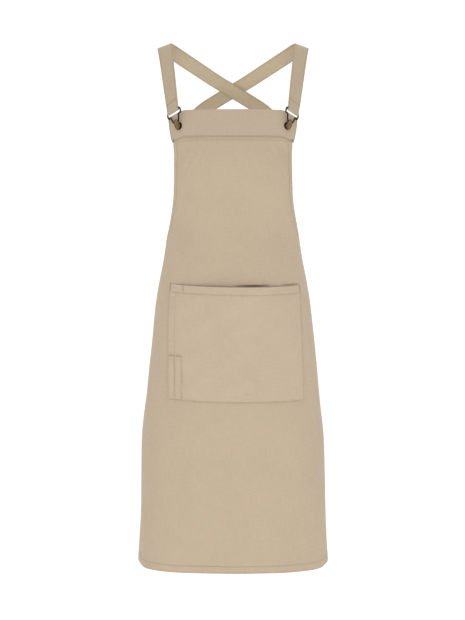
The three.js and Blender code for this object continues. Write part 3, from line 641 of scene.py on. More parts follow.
def finish_cloth(piece, nodes, material):
    """One piece of cloth takes its finish and stands for its CAD nodes."""
    piece.data.materials.clear()
    piece.data.materials.append(material)
    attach(piece, "root")
    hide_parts(*nodes)


finish_cloth(apron_panel, ["apron_body"], canvas)

# Stitches: every seam is sewn in cotton thread of the cloth's own colour, and the short bars that take the
# strain in a darker one. One stitch is modelled and copied along each seam, half sunk in its groove.
stitch_pitch = 0.0032
stitch_length = 0.0026
thread_width = 0.00055
thread_height = 0.00040
thread_sunk = 0.00008


def thread_finish(name, tone):
    """Waxed cotton thread, twisted and a little uneven in tone."""
    material = bpy.data.materials.new(name)
    tree, shader, add = nodes_of(material)
    place = add("ShaderNodeTexCoord").outputs["Object"]
    noise = add("ShaderNodeTexNoise", Vector=place, Scale=1400.0, Detail=2.0).outputs[0]
    bright = scaled(add, noise, 0.35, 0.80)
    tint = add("ShaderNodeVectorMath", {"operation": "SCALE"}, i0=linear(*tone)[:3], Scale=bright)
    tree.links.new(tint.outputs[0], shader.inputs["Base Color"])
    shader.inputs["Roughness"].default_value = 0.65
    shader.inputs["Specular IOR Level"].default_value = 0.30
    bump = add("ShaderNodeBump", Strength=0.4, Distance=0.0001, Height=noise)
    tree.links.new(bump.outputs[0], shader.inputs["Normal"])
    return material


thread = thread_finish("thread", (178, 158, 131))
dark_thread = thread_finish("dark_thread", (124, 104, 80))
bpy.ops.object.select_all(action="DESELECT")
bpy.ops.mesh.primitive_uv_sphere_add(segments=6, ring_count=4, radius=0.5, rotation=(0.0, math.pi / 2, 0.0))
first_stitch = bpy.context.object
first_stitch.name = "first_stitch"
bpy.ops.object.transform_apply(location=False, rotation=True, scale=False)
bpy.ops.object.shade_smooth()


def cloth_row(across, down, out):
    """A row of stitches on the cloth: its places and the way they face."""
    across, down, out = np.broadcast_arrays(across, down, out)
    return on_cloth(across, down, out + thread_sunk), cloth_facing(across, down, out)


def under_row(across, down, out):
    """The same on the cloth's inner side."""
    across, down, out = np.broadcast_arrays(across, down, out)
    return on_cloth(across, down, out - thread_sunk), -cloth_facing(across, down, out)


def distances(points):
    """How far along a run each of its points lies."""
    return np.concatenate([[0.0], np.cumsum(np.linalg.norm(np.diff(points, axis=0), axis=1))])


def read_run(at, along, run):
    """The places or directions of a run at the given distances along it."""
    return np.stack([np.interp(at, along, run[:, axis]) for axis in range(3)], axis=1)


def sew(name, rows, pitch=stitch_pitch, length=stitch_length, finish=thread):
    """Copies of the first stitch along rows of places with the way they face, joined into one piece."""
    bpy.ops.object.select_all(action="DESELECT")
    for points, looks in rows:
        along = distances(points)
        ends = np.linspace(0.0, along[-1], max(1, round(along[-1] / pitch)) + 1)
        places = read_run(ends, along, points)
        faces = read_run((ends[:-1] + ends[1:]) / 2, along, looks)
        for start, end, look in zip(places[:-1], places[1:], faces):
            run = Vector(end - start).normalized()
            look = Vector(look)
            look = (look - run * look.dot(run)).normalized()
            turn = Matrix((run * length, look.cross(run) * thread_width, look * thread_height)).transposed()
            one = bpy.data.objects.new(name, first_stitch.data.copy())
            one.data.transform(Matrix.Translation(Vector(start + end) / 2) @ turn.to_4x4())
            bpy.context.collection.objects.link(one)
            one.select_set(True)
    bpy.context.view_layer.objects.active = one
    bpy.ops.object.join()
    seam = bpy.context.object
    seam.name = seam.data.name = name
    seam.data.materials.append(finish)
    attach(seam, "root")
    return seam


# Turned hems: the canvas is folded to the inside round its raw edge and sewn down, narrow along the bib and
# the armholes, the same down the back edges, and wider along the bottom.
turn_steps = 7
# How dark the painted shade along a hem's folded rim is, and how far it reaches at the raw edge.
rim_shade = 1.2
raw_reach = 0.0010
hem_pucker_share = 0.6


def turned_path(width, depth, flat_steps):
    """Insets from the fold and levels of the cloth's outer face, round the fold and along the inside."""
    angles = np.linspace(0.0, math.pi, turn_steps)
    flat_insets = np.linspace(turn_radius, width, flat_steps)[1:]
    insets = np.concatenate([turn_radius * (1 - np.sin(angles)), flat_insets])
    outs = np.concatenate([depth / 2 * (np.cos(angles) - 1), np.full(flat_steps - 1, -depth)])
    return insets, outs


def edge_inwards(edge):
    """The directions across a side edge, into the cloth."""
    run = np.gradient(edge, axis=0)
    run /= np.linalg.norm(run, axis=1, keepdims=True)
    return np.stack([-run[:, 1], np.abs(run[:, 0])], axis=1)


def side_rows(side, edge):
    """The row of stitches that holds a side hem, as it shows outside and inside."""
    across, down = (edge + edge_inwards(edge) * side_seam).T
    inside = -(turn_depth + cloth_thickness)
    return [cloth_row(side * across, down, 0.0), under_row(side * across, down, inside)]


def hem_strip(name, side, edge):
    """A strip turned in along a side edge, given as places on the cloth from top to bottom."""
    insets, outs = turned_path(side_hem, turn_depth, 9)
    inwards = edge_inwards(edge)

    def place(column, row):
        inner = edge[row] + inwards[row] * insets[column][:, None]
        inset, inside = insets[column], outs[column] < -turn_radius
        pucker = puckered(inner[:, 0] + inner[:, 1], side)
        out = outs[column] + pucker * hem_pucker_share - pressed(inset, side_seam) * inside
        across = side * inner[:, 0]
        # Painted shade along the folded rim, along the row of stitches and at the raw edge inside.
        painted_hem_shade = rim_shade * near(inset, 0.0, rim_reach) + near(inset, side_seam) * inside
        painted_hem_shade = np.maximum(painted_hem_shade, rim_shade * near(inset, side_hem, raw_reach) * inside)
        return on_cloth(across, inner[:, 1], out), np.stack([across, -inner[:, 1]], axis=1), painted_hem_shade

    return lay_cloth(name, len(insets) - 1, len(edge) - 1, place, cloth_thickness, flip=side < 0)


bib_downs = np.linspace(band_depth + cloth_gap, armhole_start, 40)
bib_edge = np.concatenate([
    np.stack([half_width(bib_downs), bib_downs], axis=1),
    np.stack([armhole_across, armhole_down], axis=1),
])
back_downs = np.linspace(waist_drop + side_hem + cloth_gap, apron_length - turn_radius, 190)
back_edge = np.stack([half_width(back_downs), back_downs], axis=1)
for side, word in ((-1, "left"), (1, "right")):
    bib_hem = hem_strip("bib_hem_strip_" + word, side, bib_edge)
    finish_cloth(bib_hem, ["bib_hem_" + word], canvas)
    bib_thread = sew("bib_hem_thread_" + word, side_rows(side, bib_edge))
    back_hem = hem_strip("back_hem_strip_" + word, side, back_edge)
    finish_cloth(back_hem, ["back_hem_" + word], canvas)
    back_thread = sew("back_hem_thread_" + word, side_rows(side, back_edge))

foot_insets, foot_outs = turned_path(bottom_hem, turn_depth, 12)
foot_columns = 190
doubled_ease = 0.003
foot_uv_drop = 0.4


def place_foot(column, row):
    """Places of the bottom hem: at each end it lies over the back hem, so it steps in by one layer."""
    down = apron_length - foot_insets[row]
    edge = half_width(down) - cloth_gap
    across = (2 * column / foot_columns - 1) * edge
    doubled = smoothstep(np.abs(across), edge - side_hem - doubled_ease, edge - side_hem)
    share = foot_outs[row] / -turn_depth
    pucker = puckered(across, turning(across))
    out = foot_outs[row] - share * doubled * (cloth_thickness + cloth_gap) + pucker
    out -= pressed(foot_insets[row], bottom_seam) * (share > 0.9)
    # Painted shade along the folded rim and the row of stitches.
    painted_hem_shade = rim_shade * near(foot_insets[row], 0.0, rim_reach)
    painted_hem_shade += near(foot_insets[row], bottom_seam) * (share > 0.9)
    return on_cloth(across, down, out), np.stack([across, -down - foot_uv_drop], axis=1), painted_hem_shade


foot_hem = lay_cloth("foot_hem", foot_columns, len(foot_insets) - 1, place_foot, cloth_thickness)
finish_cloth(foot_hem, ["bottom_hem"], canvas)
foot_across = np.linspace(-1.0, 1.0, 240) * (hem_half - side_hem)
foot_down = apron_length - bottom_seam
foot_thread = sew("foot_hem_thread", [
    cloth_row(foot_across, foot_down, 0.0),
    under_row(foot_across, foot_down, -(turn_depth + cloth_thickness)),
])

# Band: a doubled strip of the same canvas, folded over the top of the bib, its raw edges turned under and
# sewn along its foot and ends. It is stiffer than the bib and its corners hang lower than its middle.
band_face = cloth_gap + cloth_thickness
band_rear = -(2 * cloth_thickness + cloth_gap)
band_overhang = 0.0015
band_columns = 120
band_easing = 1.25
band_uv_rise = 0.01
band_middle = (band_face + band_rear) / 2
band_round = (band_face - band_rear) / 2
fold_angles = np.linspace(math.pi, 0.0, 11)
band_foot_zone = 0.0012
band_seam_zone = 0.012
band_steps = np.concatenate([
    np.linspace(0.0, band_foot_zone, 4)[:-1],
    np.linspace(band_foot_zone, band_seam_zone, 9)[:-1],
    np.linspace(band_seam_zone, band_depth - band_round, 14),
])
fold_downs = band_round * (1 - np.sin(fold_angles))
fold_outs = band_middle + band_round * np.cos(fold_angles)
band_path = np.concatenate([
    np.stack([band_depth - band_steps, np.full(len(band_steps), band_rear)], axis=1)[:-1],
    np.stack([fold_downs, fold_outs], axis=1),
    np.stack([band_depth - band_steps[::-1], np.full(len(band_steps), band_face)], axis=1)[1:],
])
band_seam = 0.0016
band_end_seam = 0.0022
band_closing = 0.00055
band_closing_reach = 0.0011
band_foot_closing = 0.0003
band_foot_reach = 0.0006
band_pucker_reach = 0.009


def band_half_width(down):
    """The band stands a little past the bib's own edges, most at its foot."""
    return half_width(down) + band_overhang * smoothstep(down, 0.0, band_depth)


def place_band(column, row):
    """Places of the band, up its rear face, over the fold and down its front."""
    down, out = band_path[row].T
    share = 2 * column / band_columns - 1
    eased = np.sign(share) * (1 - (1 - np.abs(share)) ** band_easing)
    edge = band_half_width(down)
    across = eased * edge
    from_side = edge - np.abs(across)
    from_foot = band_depth - down
    front = out > band_middle
    closing = near(from_side, 0.0, band_closing_reach) * band_closing
    closing += near(from_foot, 0.0, band_foot_reach) * band_foot_closing
    groove = pressed(from_foot, band_seam) + pressed(from_side, band_end_seam)
    pucker = puckered(across, 2) * near(from_foot, 0.0, band_pucker_reach)
    lean = groove - closing + pucker
    out = out + np.where(front, lean, -lean * 0.5)
    # Painted shade along the foot seam and the foot, the end seams, the sides and the fold.
    seam = np.maximum(near(from_foot, band_seam), 1.3 * near(from_foot, 0.0, 0.0008))
    seam = np.maximum(seam, 0.6 * near(from_side, band_end_seam))
    seam = np.maximum(seam, edge_shade * near(from_side, 0.0, edge_shade_reach))
    seam = np.maximum(seam, 0.8 * near(down, 0.0, rim_reach))
    flat = np.stack([across, np.where(front, -down, down + band_uv_rise)], axis=1)
    return on_cloth(across, down, out), flat, seam


band_cloth_thickness = cloth_thickness * 0.97
bib_band = lay_cloth("bib_band_cloth", band_columns, len(band_path) - 1, place_band, band_cloth_thickness)
band_canvas = canvas_finish("band_canvas", (195, 176, 153))
finish_cloth(bib_band, ["bib_band"], band_canvas)

seam_across = np.linspace(-1.0, 1.0, 160)
end_downs = np.linspace(0.004, band_depth - band_seam, 40)
band_rows = [
    cloth_row(seam_across * (bib_half - side_hem), lower_row, 0.0),
    cloth_row(seam_across * (bib_half - band_seam), band_depth - band_seam, band_face),
    under_row(seam_across * (bib_half - band_seam), band_depth - band_seam, band_rear),
]
for side in (-1, 1):
    end_across = side * (band_half_width(end_downs) - band_end_seam)
    band_rows += [cloth_row(end_across, end_downs, band_face), under_row(end_across, end_downs, band_rear)]
corner_bar_width = 0.003
corner_bar_half = 0.002
corner_bar_inset = 0.002
corner_bar_rise = 0.003
corner_rows = []
for step in np.linspace(-corner_bar_half, corner_bar_half, 6):
    for side in (-1, 1):
        corner_across = side * (bib_half - corner_bar_inset + np.linspace(-0.5, 0.5, 2) * corner_bar_width)
        corner_rows.append(cloth_row(corner_across, band_depth - corner_bar_rise + step, band_face))
band_thread = sew("band_thread", band_rows)
band_bars = sew(
    "band_bar_thread", corner_rows, pitch=corner_bar_width, length=corner_bar_width, finish=dark_thread,
)

# Pocket: a wide patch of canvas sewn to the panel at its sides and foot. Its mouth is turned in, sewn with
# one row and held by three bars, sags a little and stands open where the panel falls back behind it.
pocket_gape = 0.010
pocket_corner = 0.008
pocket_hem = 0.017
pocket_side_seam = 0.0018
bar_length = 0.012
bar_width = 0.0016
bar_insets = (0.0030, 0.0335)
last_bar_inset = 0.0018
bar_reach = 0.0010
bar_shade = 1.4
bar_places = [pocket_shift - pocket_half + inset for inset in bar_insets]
bar_places.append(pocket_shift + pocket_half - last_bar_inset)
pocket_mouth_seam = 0.0150
pocket_foot = pocket_top + pocket_height
pocket_side_columns = 9
pocket_side_zone = 0.009
pocket_inner_columns = 110
pocket_columns = pocket_inner_columns + 2 * pocket_side_columns
mouth_insets, mouth_outs = turned_path(pocket_hem, turn_depth, 10)
pocket_top_zone = 0.020
pocket_foot_zone = 0.010
pocket_downs = np.concatenate([
    np.linspace(0, pocket_top_zone, 16)[1:],
    np.linspace(pocket_top_zone, pocket_height - pocket_foot_zone, 76)[1:],
    np.linspace(pocket_height - pocket_foot_zone, pocket_height, 11)[1:],
])
pocket_insets = turn_radius + pocket_downs * (1 - turn_radius / pocket_height)
pocket_path = np.concatenate([
    np.stack([mouth_insets[::-1], mouth_outs[::-1]], axis=1),
    np.stack([pocket_insets, np.zeros(len(pocket_insets))], axis=1),
])
inner_uv_drop = 0.3
pocket_closing = 0.00025
pocket_closing_reach = 0.0006
pocket_border = 0.030
pocket_pucker_reach = 0.010
pocket_foot_sag = 0.75
pocket_wave_across = 0.083
pocket_wave_down = 0.051
pocket_wave_start = 1.1
pocket_wave_level = 0.0004
pocket_wave_height = 0.0006


def pocket_share(across):
    """Place across the pocket, from -1 at its left side to 1 at its right."""
    return np.clip((across - pocket_shift) / pocket_half, -1, 1)


def pocket_foot_line(across):
    """The level of the pocket's foot: it sags like the mouth, and its corners are rounded."""
    past = np.maximum(0, np.abs(pocket_share(across)) * pocket_half - (pocket_half - pocket_corner))
    lifted = pocket_corner - np.sqrt(np.maximum(0, pocket_corner**2 - past**2))
    share = pocket_share(across)
    return pocket_foot + pocket_foot_sag * pocket_sag * (1 - share**2) + pocket_lean * (1 + share) / 2 - lifted


def pocket_out(across, down):
    """Level of the pocket's outer face: it stands off the panel at the mouth, most in the middle."""
    fallen = np.clip((down - pocket_top) / pocket_height, 0, 1)
    gape = pocket_gape * (1 - pocket_share(across) ** 2) ** 1.5 * (1 - fallen) ** 2
    return cloth_gap + cloth_thickness + gape


def pocket_wave(across, down, from_border):
    """Soft waves of the pocket, away from its sewn sides and foot."""
    middle = smoothstep(from_border, 0.0, pocket_border)
    turn = 2 * math.pi * (across / pocket_wave_across + down / pocket_wave_down) + pocket_wave_start
    return middle * (pocket_wave_level + pocket_wave_height * np.sin(turn))


def place_pocket(column, row):
    """Places of the pocket, up the turned-in hem inside, over its mouth and down its outer face."""
    inset, level = pocket_path[row].T
    step = column - pocket_columns / 2
    inner = np.clip(np.abs(step) / (pocket_inner_columns / 2), 0, 1) * (pocket_half - pocket_side_zone)
    outer = np.maximum(np.abs(step) - pocket_inner_columns / 2, 0) / pocket_side_columns * pocket_side_zone
    across = pocket_shift + np.sign(step) * (inner + outer)
    top, foot = mouth_line(across), pocket_foot_line(across)
    down = top + inset * (foot - top) / pocket_height
    from_side = pocket_half - np.abs(across - pocket_shift)
    from_foot = foot - down
    outside = level > -turn_radius
    seams = pressed(from_side, pocket_side_seam) + pressed(from_foot, pocket_side_seam)
    mouth_seam = pressed(inset, pocket_mouth_seam)
    closed = near(from_side, 0.0, pocket_closing_reach) + near(from_foot, 0.0, pocket_closing_reach)
    closing = pocket_closing * closed
    run = across + down
    pucker = puckered(run, 2 * np.sin(run * 53))
    from_border = np.minimum(from_side, from_foot)
    border = near(np.minimum(from_border, inset), 0.0, pocket_pucker_reach)
    out = pocket_out(across, down) + level + np.where(outside, seams - closing + mouth_seam, -mouth_seam)
    out += pucker * border * smoothstep(from_border, 0.0, pocket_border)
    out += pocket_wave(across, down, from_border)
    # Painted shade along the side, foot and mouth seams and round the sewn edge, fainter inside; darker at the
    # bars.
    seam = np.maximum(0.5 * near(from_side, pocket_side_seam), near(from_foot, pocket_side_seam))
    seam = np.maximum(seam, 0.8 * near(inset, pocket_mouth_seam)) + near(from_foot, 0.0, stitch_groove)
    bars = near(np.abs(across[..., None] - np.array(bar_places)).min(axis=-1), 0.0, bar_reach)
    seam = np.maximum(seam, bar_shade * bars * (down < mouth_line(across) + bar_length))
    flat = np.stack([across, -np.where(outside, down, down + inner_uv_drop)], axis=1)
    return on_cloth(across, down, out), flat, seam * np.where(outside, 1.0, 0.6)


pocket = lay_cloth("front_pocket", pocket_columns, len(pocket_path) - 1, place_pocket, cloth_thickness)
pocket_canvas = canvas_finish("pocket_canvas", (200, 181, 157))
finish_cloth(pocket, ["pocket"], pocket_canvas)


def pocket_row(across, down):
    """A row of stitches on the pocket's outer face."""
    across, down = np.broadcast_arrays(across, down)
    from_border = np.minimum(pocket_half - np.abs(across - pocket_shift), pocket_foot_line(across) - down)
    return cloth_row(across, down, pocket_out(across, down) + pocket_wave(across, down, from_border))


side_row_start = 0.001
foot_row_end = 0.002
mouth_row_end = 0.004
bar_start = 0.0005
bar_stitches = 15
pocket_rows = []
for side in (-1, 1):
    across = pocket_shift + side * (pocket_half - pocket_side_seam)
    top, foot = float(mouth_line(across)) + side_row_start, float(pocket_foot_line(across)) - pocket_side_seam
    pocket_rows.append(pocket_row(across, np.linspace(top, foot, 90)))
foot_run = pocket_shift + seam_across * (pocket_half - pocket_side_seam - foot_row_end)
pocket_rows.append(pocket_row(foot_run, pocket_foot_line(foot_run) - pocket_side_seam))
mouth_run = pocket_shift + seam_across * (pocket_half - mouth_row_end)
pocket_rows.append(pocket_row(mouth_run, mouth_line(mouth_run) + pocket_mouth_seam))
pocket_thread = sew("pocket_thread", pocket_rows)

bar_rows = []
for across in bar_places:
    for step in np.linspace(bar_start, bar_length, bar_stitches):
        down = float(mouth_line(across)) + step
        bar_rows.append(pocket_row(across + np.linspace(-0.5, 0.5, 2) * bar_width, down))
pocket_bars = sew("pocket_bar_thread", bar_rows, pitch=bar_width, length=bar_width, finish=dark_thread)

# Pen pocket: a narrow patch of the same canvas in the lower left corner of the pocket, its top turned in. It
# is sewn down its sides and its middle, which leaves two slots for pens, and the middle row of stitches goes
# on up the pocket.
pen_width = 0.030
pen_height = 0.0795
pen_gape = 0.002
pen_inset = 0.002
pen_seam = 0.0016
pen_outer = pocket_shift - pocket_half + pen_inset
pen_foot = pocket_foot - pen_inset
pen_columns = 36
pen_steps = 60
pen_hem = 0.008
pen_insets, pen_outs = turned_path(pen_hem, turn_depth, 6)
pen_downs = np.linspace(0, pen_height, pen_steps)[1:]
pen_face_insets = turn_radius + pen_downs * (1 - turn_radius / pen_height)
pen_path = np.concatenate([
    np.stack([pen_insets[::-1], pen_outs[::-1]], axis=1),
    np.stack([pen_face_insets, np.zeros(len(pen_face_insets))], axis=1),
])
pen_bulge_power = 0.8
pen_middle_press = 0.0005
pen_uv_shift = 0.5


def pen_out(across, down):
    """Level of the pen pocket's outer face: each half bulges, most at its mouth."""
    bulge = np.abs(np.sin(2 * math.pi * (across - pen_outer) / pen_width)) ** pen_bulge_power
    fallen = np.clip((down - pen_foot + pen_height) / pen_height, 0, 1)
    return pocket_out(across, down) + cloth_gap + cloth_thickness + pen_gape * bulge * (1 - fallen)


def place_pen(column, row):
    """Places of the pen pocket, up its turned-in hem, over its mouth and down its outer face."""
    inset, level = pen_path[row].T
    share = column / pen_columns
    across = pen_outer + share * pen_width
    down = pen_foot - pen_height + inset
    to_middle = np.abs(share - 0.5) * pen_width
    to_seam = np.minimum(np.minimum(across - pen_outer, pen_outer + pen_width - across), to_middle)
    middle = pressed(to_middle, 0.0, depth=pen_middle_press, width=raw_reach)
    outside = level > -turn_radius
    out = pen_out(across, down) + level
    out += np.where(outside, pressed(inset, pen_hem - hem_margin) + pressed(to_seam, pen_seam) + middle, 0)
    # Painted shade along the seams and the folded mouth.
    seam = np.maximum(0.4 * near(to_seam, pen_seam), 1.3 * near(inset, 0.0, rim_reach))
    flat = np.stack([across + pen_uv_shift, -np.where(outside, down, down + inner_uv_drop)], axis=1)
    return on_cloth(across, down, out), flat, seam


pen_pocket = lay_cloth("pen_pocket_patch", pen_columns, len(pen_path) - 1, place_pen, cloth_thickness)
finish_cloth(pen_pocket, ["pen_pocket"], pocket_canvas)


pen_run = np.linspace(pen_foot - pen_height + 0.001, pen_foot - pen_seam, 50)
pen_rows = [
    cloth_row(across, pen_run, pen_out(across, pen_run))
    for across in (pen_outer + pen_seam, pen_outer + pen_width / 2, pen_outer + pen_width - pen_seam)
]
for start in (pen_outer + 0.002, pen_outer + pen_width / 2 + 0.001):
    across = start + np.linspace(0.0, pen_width / 2 - 0.003, 20)
    down = pen_foot - pen_height + pen_hem - hem_margin
    pen_rows.append(cloth_row(across, down, pen_out(across, down)))
division_run = np.linspace(pocket_top + pocket_mouth_seam, pen_foot - pen_height - 0.002, 60)
pen_rows.append(pocket_row(pen_outer + pen_width / 2, division_run))
pen_thread = sew("pen_pocket_thread", pen_rows)

# Eyelets: stamped brass rings, one in each corner of the band, darkened with age. Their barrel goes through
# both layers of the band and the bib, and is rolled over on both faces.
eyelet_across = 0.1045
eyelet_drop = 0.0265
eyelet_outer = 0.0076
eyelet_hole = 0.0032
flange_roll = 0.0011
ring_shift = 0.0002
barrel_clearance = 0.0006
barrel_thickness = 0.0005
hook_splay = 0.25
hook_lean = 0.38
hook_turn = 0.17
wire_radius = 0.0014
hook_height = 0.0305
strap_width = 0.029
bar_play = 0.0016
bar_half = strap_width / 2 + bar_play
cap_width = 0.0108
cap_height = 0.021
cap_thickness = 0.0044
cap_rise = 0.0026
flange_thickness = 0.0009


def hook_frame(side):
    """The eyelet's place and facing, and the hook's three directions: out of its face, up and outer."""
    across = side * eyelet_across
    point = Vector(on_cloth(across, eyelet_drop, band_face).reshape(3))
    facing = Vector(cloth_facing(across, eyelet_drop, band_face).reshape(3))
    up = Vector((side * hook_splay, hook_lean, 1.0)).normalized()
    flat = (facing - up * facing.dot(up)).normalized()
    out = flat * math.cos(hook_turn) + flat.cross(up) * -side * math.sin(hook_turn)
    outer = out.cross(up) * -side
    return point, facing, up, out, outer


def on_hook(side, across, height, lift):
    """A place on a hook: across its face, up it, and out of the plane of its wire."""
    point, _, up, out, outer = hook_frame(side)
    level = flange_thickness + 2 * cloth_gap + cap_thickness / 2 + cap_width / 2 * math.sin(hook_turn)
    return point + outer * across + up * height + out * (level + lift)


def aged_metal(name, tone, worn_tone, roughness):
    """Brass that has darkened in hollows and stays brighter where it rubs."""
    material = bpy.data.materials.new(name)
    tree, shader, add = nodes_of(material)
    place = add("ShaderNodeTexCoord").outputs["Object"]
    mottle = add("ShaderNodeTexNoise", Vector=place, Scale=900.0, Detail=4.0)
    patches = add("ShaderNodeTexNoise", Vector=place, Scale=260.0, Detail=2.0)
    amount = add("ShaderNodeMath", {"operation": "MULTIPLY"}, i0=mottle.outputs[0], i1=patches.outputs[0])
    ramp = add("ShaderNodeValToRGB", Fac=amount.outputs[0])
    ramp.color_ramp.elements[0].position = 0.16
    ramp.color_ramp.elements[0].color = linear(*tone)
    ramp.color_ramp.elements[1].position = 0.38
    ramp.color_ramp.elements[1].color = linear(*worn_tone)
    tree.links.new(ramp.outputs[0], shader.inputs["Base Color"])
    tree.links.new(scaled(add, patches.outputs[0], 0.25, roughness - 0.12), shader.inputs["Roughness"])
    shader.inputs["Metallic"].default_value = 0.85
    bump = add("ShaderNodeBump", Strength=0.25, Distance=0.00008, Height=mottle.outputs[0])
    tree.links.new(bump.outputs[0], shader.inputs["Normal"])
    return material


def settle(piece, matrix):
    """Puts a piece's place into its mesh, so that its object sits at the origin."""
    piece.data.transform(matrix @ piece.matrix_basis)
    piece.matrix_basis = Matrix.Identity(4)
    piece.data.update()


dark_brass = aged_metal("dark_brass", (52, 36, 22), (92, 70, 44), 0.42)
ring_radius = (eyelet_outer + eyelet_hole) / 2 + ring_shift
ring_half = (eyelet_outer - eyelet_hole) / 2
for side, word in ((-1, "left"), (1, "right")):
    point, facing, _, _, _ = hook_frame(side)
    rings = []
    for level in (cloth_gap, band_rear - band_face - cloth_gap):
        bpy.ops.object.select_all(action="DESELECT")
        bpy.ops.mesh.primitive_torus_add(
            major_segments=48, minor_segments=14,
            major_radius=ring_radius, minor_radius=ring_half - ring_shift, location=(0, 0, level),
        )
        ring = bpy.context.object
        ring.scale = (1.0, 1.0, flange_roll / ring_half)
        settle(ring, Matrix.Identity(4))
        rings.append(ring)
    bpy.ops.object.select_all(action="DESELECT")
    bpy.ops.mesh.primitive_cylinder_add(
        vertices=48, radius=eyelet_hole + barrel_clearance, depth=band_face - band_rear + cloth_gap * 2,
        end_fill_type="NOTHING", location=(0, 0, (band_rear - band_face) / 2),
    )
    barrel = bpy.context.object
    settle(barrel, Matrix.Identity(4))
    barrel_wall = barrel.modifiers.new("wall", "SOLIDIFY")
    barrel_wall.thickness = barrel_thickness
    bpy.ops.object.modifier_apply(modifier=barrel_wall.name)
    for ring in rings:
        ring.select_set(True)
    barrel.select_set(True)
    bpy.context.view_layer.objects.active = barrel
    bpy.ops.object.join()
    eyelet = bpy.context.object
    eyelet.name = eyelet.data.name = "rolled_eyelet_" + word
    turn = Vector((0, 0, 1)).rotation_difference(facing).to_matrix().to_4x4()
    settle(eyelet, Matrix.Translation(point) @ turn)
    bpy.ops.object.shade_smooth()
    eyelet.data.materials.append(dark_brass)
    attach(eyelet, "root")
    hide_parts("eyelet_" + word)

# Hooks: a bent brass wire whose wide bar carries the strap, closed in a pressed oval cap. A prong behind the
# cap passes through the eyelet and turns up behind the band.
wire_rows = [
    {"across": 0.00, "up": 1.00},
    {"across": 0.60, "up": 1.00},
    {"across": 0.95, "up": 1.00},
    {"across": 1.02, "up": 0.95},
    {"across": 1.01, "up": 0.74},
    {"across": 0.94, "up": 0.68},
    {"across": 0.74, "up": 0.69},
    {"across": 0.65, "up": 0.66},
    {"across": 0.47, "up": 0.37},
    {"across": 0.25, "up": 0.15},
    {"across": 0.205, "up": 0.03},
    {"across": 0.185, "up": -0.07},
    {"across": 0.11, "up": -0.145},
    {"across": 0.00, "up": -0.175},
]
cap_narrowing = 0.16
cap_edge = 0.0011
cap_rim = 0.0007
cap_rim_depth = 0.00035
cap_field_inset = 0.0006
# The prong behind the cap: one piece goes through the eyelet, the other turns up behind the band.
prong_rows = [
    {"size": (0.0036, 0.0020, 0.0125), "place": (0, 0, -0.00625)},
    {"size": (0.0036, 0.0090, 0.0016), "place": (0, 0.0035, -0.0117)},
]
prong_edge = 0.0004


def smooth_run(knots, steps, closed=False):
    """Points and directions along a centripetal curve through the knots, so many steps between each two."""
    knots = [np.asarray(knot, float) for knot in knots]
    if closed:
        padded = [knots[-1]] + knots + knots[:2]
    else:
        padded = [2 * knots[0] - knots[1]] + knots + [2 * knots[-1] - knots[-2]]
    points = []
    for k in range(len(padded) - 3):
        p0, p1, p2, p3 = padded[k:k + 4]
        d0, d1, d2 = (max(np.linalg.norm(b - a), 1e-9) ** 0.5 for a, b in ((p0, p1), (p1, p2), (p2, p3)))
        m1 = ((p1 - p0) / d0 - (p2 - p0) / (d0 + d1) + (p2 - p1) / d1) * d1
        m2 = ((p2 - p1) / d1 - (p3 - p1) / (d1 + d2) + (p3 - p2) / d2) * d1
        for u in np.arange(steps) / steps:
            points.append(
                (2 * u**3 - 3 * u**2 + 1) * p1 + (u**3 - 2 * u**2 + u) * m1
                + (3 * u**2 - 2 * u**3) * p2 + (u**3 - u**2) * m2
            )
    if not closed:
        points.append(knots[-1])
    return np.array(points)


